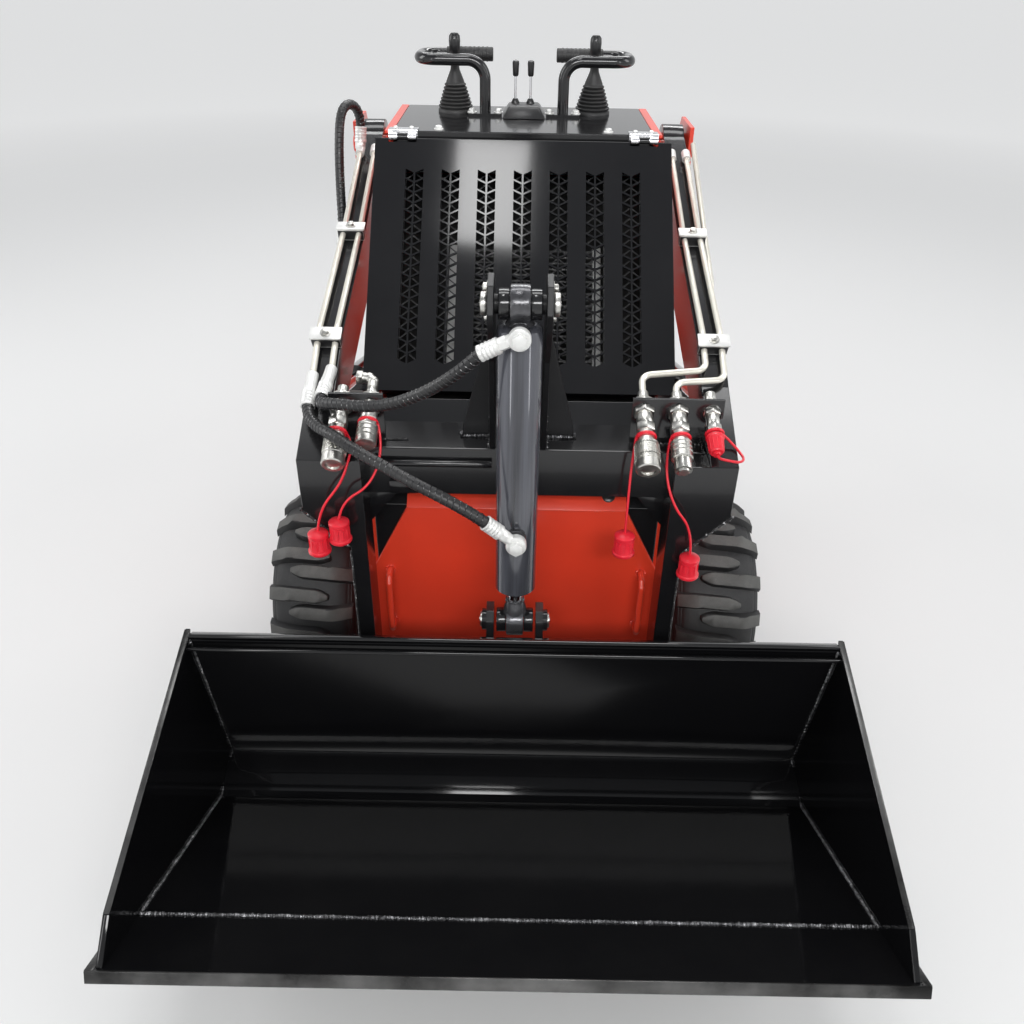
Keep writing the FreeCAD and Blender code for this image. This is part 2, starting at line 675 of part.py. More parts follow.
def grille_strip():
    """One column of the hood's grille: pairs of slanted slots either side of a thin rib."""
    strip = new_body("GrilleStrip")
    plate(strip, "XY_Plane", GRILLE_STRIP, "-hood_wall", "0")
    slots = []
    for side in (-1, 1):
        near, far = ["%d * (%s)" % (side, reach) for reach in ("slot_rib_half", "slot_rib_half + slot_width")]
        slot = [(near, "-grille_start - slot_length"), (far, "slot_lean - grille_start - slot_length"),
                (far, "slot_lean - grille_start"), (near, "-grille_start")]
        slots.append(opening(strip, "XY_Plane", slot, "-hood_wall", "0"))
    rows = strip.newObject("PartDesign::LinearPattern", "SlotRows")
    rows.Originals = slots
    rows.Direction = (slots[0].Profile[0], ["V_Axis"])
    rows.Reversed = True
    bind(rows, Length="(grille_rows - 1) * grille_row_pitch", Occurrences="grille_rows")
    strip.Tip = rows
    return strip


def hood():
    """Sloping engine cover: a sheet with turned edges, made flat and then tipped about its hinge."""
    body = new_body("Hood")
    across = "hood_half_width"
    sheet_corners = [
        ("-%s" % across, "-hood_length"), (across, "-hood_length"), (across, "0"), ("-%s" % across, "0"),
    ]
    plate(body, "XY_Plane", sheet_corners, "-hood_wall", "0")
    strips = []
    for column in range(GRILLE_COLUMNS):
        middle = "%s * grille_column_pitch" % (column - (GRILLE_COLUMNS - 1) / 2)
        window = [("%s + (%s)" % (middle, corner[0]), corner[1]) for corner in GRILLE_STRIP]
        opening(body, "XY_Plane", window, "-hood_wall", "0")
        strips.append((middle, "Strip%d" % column))
    for side in (-1, 1):
        edge = [
            ("%d * %s" % (side, across), "-hood_length"),
            ("%d * (%s - hood_wall)" % (side, across), "-hood_length"),
            ("%d * (%s - hood_wall)" % (side, across), "0"),
            ("%d * %s" % (side, across), "0"),
        ]
        plate(body, "XY_Plane", edge, "-hood_skirt", "-hood_wall")
    lower = [
        ("-%s" % across, "-hood_length"), (across, "-hood_length"),
        (across, "hood_wall - hood_length"), ("-%s" % across, "hood_wall - hood_length"),
    ]
    plate(body, "XY_Plane", lower, "-hood_skirt", "-hood_wall")
    knuckle = "butt_knuckle_length"
    gap = "butt_end_gap"
    clear = "(butt_knuckle_radius + 4)"
    for side in (-1, 1):
        for low, high in (("butt_inner_across - %s" % gap, "butt_inner_across + %s + %s" % (knuckle, gap)),
                          ("butt_outer_across - %s - %s" % (knuckle, gap), "butt_outer_across + %s" % gap)):
            notch = [("%d * (%s)" % (side, low), "-" + clear), ("%d * (%s)" % (side, high), "-" + clear),
                     ("%d * (%s)" % (side, high), "1"), ("%d * (%s)" % (side, low), "1")]
            opening(body, "XY_Plane", notch, "-hood_wall - 1", "1")
    lean(body, HOOD_HINGE[0], HOOD_HINGE[1], "hood_slope")
    source = grille_strip()
    placed = []
    for middle, name in strips:
        placed.append(together(name, [source]))
        bind(placed[-1], Placement__Base__x=middle)
    grille = together("Grille", placed)
    lean(grille, HOOD_HINGE[0], HOOD_HINGE[1], "hood_slope")
    middle = bar("HoodKnuckle", "X", ("butt_inner_across + %s + %s" % (knuckle, gap),) + HOOD_HINGE, "butt_knuckle_radius",
                 "butt_outer_across - butt_inner_across - 2 * (%s + %s)" % (knuckle, gap))
    bore = bar("HoodBore", "X", ("-hood_half_width",) + HOOD_HINGE, "butt_pin_radius + running_clearance",
               "2 * hood_half_width")
    bored = cut("HoodBored", fuse("HoodOnKnuckles", [body, middle, mirrored("HoodKnuckleMirror", middle)]), bore)
    node("hood_panel", fuse("HoodWithGrille", [bored, grille]))
    fixed = [bar("ButtPin", "X", ("butt_inner_across",) + HOOD_HINGE, "butt_pin_radius",
                 "butt_outer_across - butt_inner_across")]
    for start in ("butt_inner_across", "butt_outer_across - %s" % knuckle):
        fixed.append(bar("ButtKnuckle", "X", (start,) + HOOD_HINGE, "butt_knuckle_radius", knuckle))
        fixed.append(block("ButtLeaf", (start,) + HOOD_HINGE,
                           ("%s + %s" % (start, knuckle), "console_front_along",
                            "%s + butt_knuckle_radius" % HOOD_HINGE[1])))
    node("hood_hinges", both_sides("HoodHinges", fuse("ButtHinge", fixed)))


def arm_half(name):
    """One lift arm: boom with a slot for its cylinder, tapered leg, and round ends."""
    body = new_body(name)
    boom = [
        ("arm_pivot_along + 20", "arm_pivot_height + 50"),
        ("arm_pivot_along - 60", "arm_pivot_height + 32"),
        ("arm_shoulder_along", "arm_shoulder_height"),
        ("arm_bend_along", "arm_bend_height"),
        ("arm_knee_along", "arm_knee_height"),
        ("arm_nose_along", "arm_nose_height"),
        ("arm_nose_along", "beam_foot_height"),
        ("leg_rear_along", "beam_foot_height"),
        ("arm_knee_along + 8", "arm_knee_height - 100"),
        ("arm_bend_along + 34", "arm_bend_height - 116"),
        ("arm_shoulder_along + 34", "arm_shoulder_height - arm_depth"),
        ("arm_pivot_along - 20", "arm_pivot_height - 50"),
    ]
    plate(body, "YZ_Plane", boom, "arm_inner_across", "arm_outer_across")
    leg = [
        ("leg_inner_across", "beam_foot_height"),
        ("arm_outer_across", "beam_foot_height"),
        ("arm_outer_across", "beam_foot_height - 8"),
        ("leg_outer_across", "leg_taper_height"),
        ("leg_outer_across", "hitch_pivot_height"),
        ("leg_inner_across", "hitch_pivot_height"),
    ]
    plate(body, "XZ_Plane", leg, "arm_nose_along", "leg_rear_along")
    head = [
        ("leg_inner_across", "beam_foot_height"),
        ("arm_inner_across", "beam_foot_height"),
        ("arm_inner_across", "arm_nose_height"),
        ("leg_inner_across", "arm_nose_height"),
    ]
    plate(body, "XZ_Plane", head, "arm_nose_along", "beam_front_along")
    slot = [
        ("lift_eye_along - 78", "lift_eye_height - 120"),
        ("arm_shoulder_along + 60", "arm_shoulder_height - 200"),
        ("arm_shoulder_along + 60", "arm_shoulder_height - 30"),
        ("arm_bend_along", "arm_bend_height - 22"),
        ("arm_knee_along + 20", "arm_knee_height - 14"),
        ("lift_eye_along - 78", "arm_knee_height - 42"),
    ]
    opening(body, "YZ_Plane", slot, "arm_inner_across + arm_wall", "arm_outer_across - arm_wall")
    rear_boss = bar(name + "RearBoss", "X", ("arm_inner_across", "arm_pivot_along", "arm_pivot_height"),
                    "arm_boss_radius", "arm_outer_across - arm_inner_across")
    foot_boss = bar(name + "FootBoss", "X", ("leg_inner_across", "hitch_pivot_along", "hitch_pivot_height"),
                    "leg_boss_radius", "leg_outer_across - leg_inner_across")
    hitch_pin = bar(name + "HitchPin", "X",
                    ("leg_inner_across - ear_clearance - hitch_ear_wall - 14", "hitch_pivot_along", "hitch_pivot_height"),
                    "hitch_pin_radius", "leg_outer_across + 10 - leg_inner_across + ear_clearance + hitch_ear_wall + 14")
    eye_heads = bar(name + "EyeHead", "X", ("arm_outer_across", "lift_eye_along", "lift_eye_height"),
                    "lift_pin_radius + 6", "7")
    solid = fuse(name + "Solid", [body, rear_boss, foot_boss, hitch_pin, eye_heads])
    bore = bar(name + "Bore", "X", ("arm_inner_across - 20", "arm_pivot_along", "arm_pivot_height"),
               "arm_pivot_pin_radius + running_clearance", "arm_outer_across - arm_inner_across + 40")
    return cut(name + "Bored", solid, bore)


def arms():
    right = arm_half("LiftArm")
    node("arm_left", right)
    node("arm_right", mirrored("LiftArmMirror", right))
    body = new_body("CrossBeam")
    corners = [
        ("beam_front_along", "beam_foot_height"), ("beam_rear_along", "beam_foot_height"),
        ("beam_rear_along", "beam_top_height"), ("beam_front_along", "beam_top_height"),
    ]
    plate(body, "YZ_Plane", corners, "-arm_inner_across", "arm_inner_across")
    node("cross_member", body)


def tower():
    """Two plates that carry the tilt cylinder's base pin, with a gusset on each side."""
    corners = [
        ("beam_front_along + 4", "beam_top_height"),
        ("beam_rear_along - 4", "beam_top_height"),
        ("beam_rear_along - 40", "beam_top_height + 150"),
        ("tilt_base_along + 62", "tilt_base_height + 24"),
        ("tilt_base_along + 18", "tilt_base_height + 42"),
        ("tilt_base_along - 24", "tilt_base_height + 36"),
        ("tilt_base_along - 40", "tilt_base_height - 4"),
        ("tilt_base_along - 24", "tilt_base_height - 36"),
        ("tilt_base_along + 34", "tilt_base_height - 110"),
    ]
    body = new_body("TowerPlate")
    plate(body, "YZ_Plane", corners, "tower_inner_across", "tower_inner_across + tower_wall")
    gusset = [
        ("tower_inner_across + tower_wall", "beam_top_height"),
        ("2.5 * tower_inner_across", "beam_top_height"),
        ("2.5 * tower_inner_across", "beam_top_height + 20"),
        ("tower_inner_across + tower_wall + 6", "beam_top_height + 190"),
        ("tower_inner_across + tower_wall", "beam_top_height + 190"),
    ]
    plate(body, "XZ_Plane", gusset, "beam_rear_along - 55", "beam_rear_along - 45")
    half = both_sides("TowerHalves", body)
    pin = bar("TowerPin", "X", ("-tower_inner_across - tower_wall - 10", "tilt_base_along", "tilt_base_height"),
              "tilt_pin_radius", "2 * (tower_inner_across + tower_wall + 10)")
    node("tilt_tower", fuse("TiltTower", [half, pin]))


def cylinder(name, label, base, eye, prefix, eye_half, across):
    """Barrel and rod between two points of the side view, made upright and then tipped onto their line."""
    along, height = base
    far_along, far_height = eye
    angle = "atan2(%s - %s; %s - %s)" % (along, far_along, far_height, height)
    reach = "sqrt((%s - %s)^2 + (%s - %s)^2)" % (far_along, along, far_height, height)
    outer = prefix + "_barrel_radius"
    inner = prefix + "_bore_radius"
    rod = prefix + "_rod_radius"
    end = "%s - %s_rod_out" % (reach, prefix)
    barrel_half = [
        ("0", "0.5 * %s_eye_radius" % prefix),
        (outer, "0.5 * %s_eye_radius" % prefix),
        (outer, end), ("%s + running_clearance" % rod, end),
        ("%s + running_clearance" % rod, "%s - gland_length" % end),
        (inner, "%s - gland_length" % end),
        (inner, "%s_eye_radius + 14" % prefix),
        ("0", "%s_eye_radius + 14" % prefix),
    ]
    start = prefix + "_piston_start"
    rod_half = [
        ("0", start),
        ("%s - 0.5" % inner, start),
        ("%s - 0.5" % inner, "%s + piston_length" % start),
        (rod, "%s + piston_length" % start),
        (rod, reach),
        ("0", reach),
    ]
    barrel = fuse(name + "BarrelSolid", [
        turned(name + "Barrel", barrel_half),
        bar(name + "BarrelEye", "X", ("-%s" % eye_half, "0", "0"), prefix + "_eye_radius", "2 * %s" % eye_half),
    ])
    bore = bar(name + "BaseBore", "X", ("-2 * %s" % eye_half, "0", "0"),
               "%s_pin_radius + running_clearance" % prefix, "4 * %s" % eye_half)
    barrel = cut(name + "BarrelBored", barrel, bore)
    rod_solid = fuse(name + "RodSolid", [
        turned(name + "Rod", rod_half),
        bar(name + "RodEye", "X", ("-%s" % eye_half, "0", reach), prefix + "_eye_radius", "2 * %s" % eye_half),
    ])
    for item, kind in ((barrel, "barrel"), (rod_solid, "rod")):
        lean(item, along, height, angle)
        bind(item, Placement__Base__x=across)
        node(label % kind, item)


def cylinders():
    for side, sign in (("left", 1), ("right", -1)):
        cylinder("Lift" + side.title(), "lift_%s_" + side,
                 ("lift_base_along", "lift_base_height"), ("lift_eye_along", "lift_eye_height"),
                 "lift", "lift_eye_width / 2", "%d * (arm_inner_across + arm_outer_across) / 2" % sign)
    cylinder("Tilt", "tilt_%s", ("tilt_base_along", "tilt_base_height"), ("tilt_eye_along", "tilt_eye_height"),
             "tilt", "tilt_eye_half_width", "0")


def in_bucket(item):
    """Rolls an item drawn with the bucket's floor level back about the hitch hinge."""
    return lean(item, "hitch_pivot_along", "hitch_pivot_height", "-bucket_rollback")


def bucket():
    line = [
        ("bucket_floor_front", "bucket_floor_height"),
        ("bucket_floor_rear", "bucket_floor_height"),
        ("bucket_heel_along", "bucket_heel_height"),
        ("bucket_back_along", "bucket_back_height"),
    ]
    body = new_body("BucketShell")
    plate(body, "YZ_Plane", folded(line, "bucket_sheet"), "-bucket_half_width", "bucket_half_width")
    side = [
        ("edge_tip_along + 5", "bucket_floor_height + bucket_sheet"),
        ("bucket_floor_front", "bucket_floor_height + bucket_sheet"),
        ("bucket_floor_front", "bucket_floor_height"),
        ("bucket_floor_rear", "bucket_floor_height"),
        ("bucket_heel_along", "bucket_heel_height"),
        ("bucket_back_along", "bucket_back_height"),
        ("bucket_back_along + 5", "bucket_back_height + 14"),
        ("side_nose_along", "side_nose_height"),
    ]
    for low, high in (("bucket_half_width", "bucket_half_width + bucket_side_wall"),
                      ("-bucket_half_width - bucket_side_wall", "-bucket_half_width")):
        plate(body, "YZ_Plane", side, low, high)
    node("bucket_shell", in_bucket(body))
    edge = [
        ("edge_tip_along", "bucket_floor_height + bucket_sheet - 3"),
        ("edge_tip_along + 30", "bucket_floor_height + bucket_sheet - edge_wall"),
        ("bucket_floor_front", "bucket_floor_height + bucket_sheet - edge_wall"),
        ("bucket_floor_front", "bucket_floor_height + bucket_sheet"),
        ("edge_tip_along", "bucket_floor_height + bucket_sheet"),
    ]
    body = new_body("CuttingEdge")
    plate(body, "YZ_Plane", edge, "-edge_half_width", "edge_half_width")
    node("cutting_edge", in_bucket(body))


def hitch():
    """Plate on the bucket's back with ears for the two leg pins and for the tilt cylinder's rod."""
    foot = FreeCAD.Vector(size("bucket_heel_along"), size("bucket_heel_height"), 0)
    top = FreeCAD.Vector(size("bucket_back_along"), size("bucket_back_height"), 0)
    up = (top - foot).normalize()
    back = FreeCAD.Vector(up.y, -up.x, 0)

    def spot(rise, stand):
        point = foot + up * rise + back * stand
        return (point.x, point.y)

    wall = size("hitch_plate_wall")
    body = new_body("HitchPlate")
    plate_foot, plate_top, ear_top = [size(name) for name in ("hitch_plate_foot", "hitch_plate_top", "outer_ear_top")]
    plate(body, "YZ_Plane", [spot(plate_foot, 0), spot(plate_top, 0), spot(plate_top, wall), spot(plate_foot, wall)],
          "-hitch_plate_half_width", "hitch_plate_half_width")
    reach = size("hinge_ear_reach")
    outer_ear = [spot(plate_foot, wall), spot(ear_top, wall), spot(size("outer_ear_rise"), size("outer_ear_stand"))]
    outer_ear += [(0.28 * reach, reach), (reach, 0.28 * reach), (reach, -0.67 * reach), (0.28 * reach, -reach)]
    outer_ear += [spot(plate_foot, 5 * wall)]
    inner_edge = "leg_inner_across - ear_clearance - hitch_ear_wall"
    for sign in (-1, 1):
        low = inner_edge if sign > 0 else "ear_clearance - leg_inner_across"
        high = "leg_inner_across - ear_clearance" if sign > 0 else "-(%s)" % inner_edge
        plate(body, "YZ_Plane", outer_ear, low, high)
    angle = math.radians(size("bucket_rollback"))
    reach = FreeCAD.Vector(size("tilt_eye_along - hitch_pivot_along"), size("tilt_eye_height - hitch_pivot_height"), 0)
    eye = FreeCAD.Vector(reach.x * math.cos(angle) - reach.y * math.sin(angle),
                         reach.x * math.sin(angle) + reach.y * math.cos(angle), 0)
    around = [eye + up * rise + back * stand for rise, stand in ((30, -6), (22, 24), (-4, 34), (-30, 22))]
    inner_ear = [spot(ear_top, wall), spot(plate_top, wall)] + [(point.x, point.y) for point in around]
    for sign in (-1, 1):
        gap = "tilt_eye_half_width + ear_clearance"
        low = gap if sign > 0 else "-(%s + hitch_ear_wall)" % gap
        high = "%s + hitch_ear_wall" % gap if sign > 0 else "-(%s)" % gap
        plate(body, "YZ_Plane", inner_ear, low, high)
    bore = bar("HitchBore", "X", ("-leg_inner_across", "0", "0"), "hitch_pin_radius + running_clearance",
               "2 * leg_inner_across")
    heads = []
    for sign in (-1, 1):
        side = "tilt_eye_half_width + ear_clearance + hitch_ear_wall"
        head = doc.addObject("Part::Cylinder", "EyePinHead")
        head.Placement = FreeCAD.Placement(FreeCAD.Vector(0, eye.x, eye.y), AXIS_TURN["X"])
        bind(head, Radius="tilt_pin_radius + 5", Height="8",
             Placement__Base__x=side if sign > 0 else "-(%s) - 8" % side)
        heads.append(head)
    solid = cut("HitchBored", fuse("HitchSolid", [body] + heads), bore)
    node("hitch_plate", in_bucket(solid))


def platform():
    """Folding step for the driver: plate with turned edges on a cross tube, and its hinge brackets."""
    body = new_body("StepPlate")
    across = "platform_half_width"
    top = "platform_hinge_height + 12"
    deck = [
        ("platform_hinge_along + 24", "%s - platform_wall" % top), ("platform_rear_along", "%s - platform_wall" % top),
        ("platform_rear_along", top), ("platform_hinge_along + 24", top),
    ]
    plate(body, "YZ_Plane", deck, "-%s" % across, across)
    cheek = [
        ("platform_hinge_along - 18", "platform_hinge_height - 18"),
        ("platform_rear_along", "%s - platform_rim" % top),
        ("platform_rear_along", "%s - platform_wall" % top),
        ("platform_hinge_along + 24", "%s - platform_wall" % top),
        ("platform_hinge_along + 18", "platform_hinge_height + 18"),
        ("platform_hinge_along - 18", "platform_hinge_height + 18"),
    ]
    for low, high in (("-%s" % across, "platform_wall - %s" % across), ("%s - platform_wall" % across, across)):
        plate(body, "YZ_Plane", cheek, low, high)
    back = [
        ("platform_rear_along - platform_wall", "%s - platform_rim" % top),
        ("platform_rear_along", "%s - platform_rim" % top),
        ("platform_rear_along", "%s - platform_wall" % top),
        ("platform_rear_along - platform_wall", "%s - platform_wall" % top),
    ]
    plate(body, "YZ_Plane", back, "platform_wall - %s" % across, "%s - platform_wall" % across)
    bore = bar("StepBore", "X", ("-%s - 10" % across, "platform_hinge_along", "platform_hinge_height"),
               "10 + running_clearance", "2 * %s + 20" % across)
    node("platform", cut("Step", body, bore))
    ear = [
        ("rear_face_along", "platform_hinge_height - 30"),
        ("platform_hinge_along + 6", "platform_hinge_height - 18"),
        ("platform_hinge_along + 18", "platform_hinge_height - 4"),
        ("platform_hinge_along + 16", "platform_hinge_height + 12"),
        ("rear_face_along", "platform_hinge_height + 60"),
    ]
    bracket = new_body("StepBracket")
    plate(bracket, "YZ_Plane", ear, "%s + 6" % across, "%s + 16" % across)
    pin = bar("StepPin", "X", ("%s - 20" % across, "platform_hinge_along", "platform_hinge_height"), "10", "40")
    node("platform_brackets", both_sides("StepBrackets", fuse("StepBracketPin", [bracket, pin])))


def handles():
    top = "console_top_height + handle_rise"
    rail_points = [
        ("handle_post_across", "handle_post_along", "console_top_height"),
        ("handle_post_across", "handle_post_along", top),
        ("handle_outer_across", "handle_post_along", top),
        ("handle_outer_across", "handle_rear_along", top),
        ("handle_inner_across", "handle_rear_along", top),
    ]
    rail, wire, radii = tube("HandRail", rail_points, "handle_tube_radius", "handle_bend")
    foot = block("RailFoot", ("handle_post_across - 38", "handle_post_along - 18", "console_top_height"),
                 ("handle_post_across + 38", "handle_post_along + 18", "console_top_height + 6"))
    node("hand_rails", both_sides("HandRails", fuse("HandRailFoot", [rail, foot])))
    boot_top = "console_top_height + boot_rise"
    boot_half = [
        ("0", "console_top_height"), ("boot_radius", "console_top_height"),
        ("boot_radius", "console_top_height + 8"), ("0.4 * boot_radius", boot_top), ("0", boot_top),
    ]
    boot = turned("StickBoot", boot_half)
    bind(boot, Placement__Base__x="stick_across", Placement__Base__y="stick_along")
    node("stick_boots", both_sides("StickBoots", boot))
    stick_top = "console_top_height + stick_rise"
    stick_half = [
        ("0", boot_top), ("8", boot_top), ("10", stick_top + " - 40"),
        ("14", stick_top + " - 8"), ("9", stick_top), ("0", stick_top),
    ]
    stick = turned("Stick", stick_half)
    bind(stick, Placement__Base__x="stick_across", Placement__Base__y="stick_along")
    node("control_sticks", both_sides("ControlSticks", stick))
    housing_top = "console_top_height + switch_rise"
    housing = block("SwitchHousing", ("-switch_half_width", "switch_front_along", "console_top_height"),
                    ("switch_half_width", "switch_rear_along", housing_top))
    levers = []
    for name, across in (("Throttle", "-20"), ("Lock", "14")):
        levers.append(bar(name, "Z", (across, "lever_along", housing_top), "5", "lever_length"))
        levers.append(bar(name + "Knob", "Z", (across, "lever_along", housing_top + " + lever_length - 20"), "11", "30"))
    node("centre_controls", fuse("CentreControls", [housing] + levers))


def strut(name, start, end, radius):
    """Round bar between two points."""
    first, last = [FreeCAD.Vector(*[size(value) for value in point]) for point in (start, end)]
    item = doc.addObject("Part::Cylinder", name)
    item.Placement = FreeCAD.Placement(first, FreeCAD.Rotation(FreeCAD.Vector(0, 0, 1), last - first))
    item.Height = (last - first).Length
    bind(item, Radius=radius,
         Placement__Base__x=start[0], Placement__Base__y=start[1], Placement__Base__z=start[2])
    return item


def over_arm(across, along, stand="tube_stand"):
    """Point above the boom's top line, at a place along the machine."""
    marks = [
        ("arm_pivot_along - 60", "arm_pivot_height + 32"), ("arm_shoulder_along", "arm_shoulder_height"),
        ("arm_bend_along", "arm_bend_height"), ("arm_knee_along", "arm_knee_height"),
        ("arm_nose_along", "arm_nose_height"),
    ]
    for (rear, high), (front, low) in zip(marks, marks[1:]):
        if size(along) >= size(front) or front == "arm_nose_along":
            share = "((%s) - (%s)) / ((%s) - (%s))" % (along, front, rear, front)
            return (across, along, "(%s) + ((%s) - (%s)) * %s + %s" % (low, high, low, share, stand))


def arm_slope(along):
    """Slope of the boom's top in degrees at a place along the machine."""
    first = over_arm("0", "%s + 1" % along)
    last = over_arm("0", "%s - 1" % along)
    return math.degrees(math.atan2(size(first[2]) - size(last[2]), 2))


def clamp(name, along):
    """Block that holds the arm's two lines, seated on the boom's top."""
    item = new_body(name)
    corners = [("-27", "-13"), ("27", "-13"), ("27", "13"), ("-27", "13")]
    plate(item, "XY_Plane", corners, "0", "tube_stand + tube_radius + 4")
    place = over_arm("(arm_inner_across + arm_outer_across) / 2", along, "0")
    item.Placement = FreeCAD.Placement(FreeCAD.Vector(),
                                       FreeCAD.Rotation(FreeCAD.Vector(1, 0, 0), arm_slope(along)))
    bind(item, Placement__Base__x=place[0], Placement__Base__y=place[1], Placement__Base__z=place[2])
    return item


CLAMPS = ["127", "-205"]
ELBOW_ALONG = "390"
HOSES = {
    "tilt_hose_head": [
        (-348, -319, 835), (-351, -350, 824.5), (-342, -388, 838), (-304, -416, 851), (-258, -436, 857),
        (-214, -451, 869), (-168, -472, 895), (-124, -497, 929), (-84, -518, 968), (-55.7, -528.4, 998.8),
        (-34, -529, 1009)],
    "tilt_hose_rod": [
        (-376, -329, 823), (-376, -359.7, 808.3), (-352, -410, 806), (-315, -455, 815), (-270, -485, 800),
        (-220, -510, 786), (-170, -535, 770), (-120, -555, 755), (-76, -563, 732), (-48.2, -562, 710),
        (-30, -559, 693)],
    "arm_hose": [
        (-376, 416, 1116), (-373, 425, 1153), (-379, 407, 1186), (-392, 374, 1198), (-404, 341, 1182),
        (-408, 314, 1117), (-408, 288, 1030), (-404, 262, 963), (-404, 240, 931)],
}


def steel_line(name, points):
    line, wire, radii = tube(name, points, "tube_radius", "tube_bend")
    return line


def on_coupler(across, reach, below="0"):
    """Point on a coupler's line in front of its bracket, or square below that line."""
    return (across,
            "coupler_plate_along - (%s) * cos(coupler_slope * 1deg) + (%s) * sin(coupler_slope * 1deg)" % (reach, below),
            "coupler_height - (%s) * sin(coupler_slope * 1deg) - (%s) * cos(coupler_slope * 1deg)" % (reach, below))


def hose_end(name, label, end, length, radius):
    """Fitting that carries on a hose's last run, or its first run backwards."""
    points = HOSES[label] if end == "last" else HOSES[label][::-1]
    before, mouth = [FreeCAD.Vector(*point) for point in points[-2:]]
    return strut(name, tuple(mouth), tuple(mouth + (mouth - before).normalize() * length), radius)


def lines():
    """Steel lines along the arms with their clamps and end fittings."""
    near = "tube_near_across"
    far = "tube_far_across"

    def run(across, last):
        stations = [ELBOW_ALONG, "arm_shoulder_along", "arm_bend_along", last]
        return [over_arm(across, along) for along in stations]

    tubes = {
        "left": [
            steel_line("NearLineLeft", run(near, "-262") + [on_coupler("222", "-78"), on_coupler("222", "-coupler_tail")]),
            steel_line("FarLineLeft", run(far, "-280") + [on_coupler("282", "-62"), on_coupler("282", "-coupler_tail")]),
            steel_line("OutsideLine", [
                over_arm("outside_line_across", along, stand)
                for along, stand in (("440", "19"), ("150", "-14"), ("40", "-32"), ("12", "-74"))]),
        ],
        "right": [steel_line("NearLineRight", run("-" + near, "-272")), steel_line("FarLineRight", run("-" + far, "-284"))],
    }
    node("line_tubes", together("LineTubes", tubes["left"] + tubes["right"]))

    nuts = {}
    for side, sign in (("left", 1), ("right", -1)):
        for across in (near, far):
            place = "%d * %s" % (sign, across)
            nuts[side, across] = strut("ElbowNut", over_arm(place, ELBOW_ALONG), over_arm(place, ELBOW_ALONG + " + 26"), "10")
    loop_port = strut("LoopPort", ("-arm_outer_across", "222", "905"), ("-arm_outer_across - 32", "222", "905"), "12")
    ends = {
        "left": [
            nuts["left", near], nuts["left", far],
            strut("OutsidePort", over_arm("arm_outer_across", "10", "-80"),
                  over_arm("arm_outer_across + 20", "10", "-80"), "9"),
        ],
        "right": [
            nuts["right", near],
            fuse("LoopStart", [nuts["right", far], hose_end("LoopElbow", "arm_hose", "first", 27, "9.5")]),
            fuse("LoopFoot", [loop_port, hose_end("LoopNut", "arm_hose", "last", 32, "10")]),
            hose_end("NearCollar", "tilt_hose_head", "first", 50, "11"),
            hose_end("FarCollar", "tilt_hose_rod", "first", 50, "11"),
        ],
    }
    seated = []
    for side, pieces in ends.items():
        tool = together("LinesTool" + side.title(), tubes[side])
        for along in CLAMPS:
            block_item = clamp("Clamp", along)
            pieces.append(block_item if side == "left" else mirrored("ClampMirror", block_item))
        seated += [cut(item.Name + "Bored", item, tool) for item in pieces]
    node("line_fittings", together("LineFittings", seated))


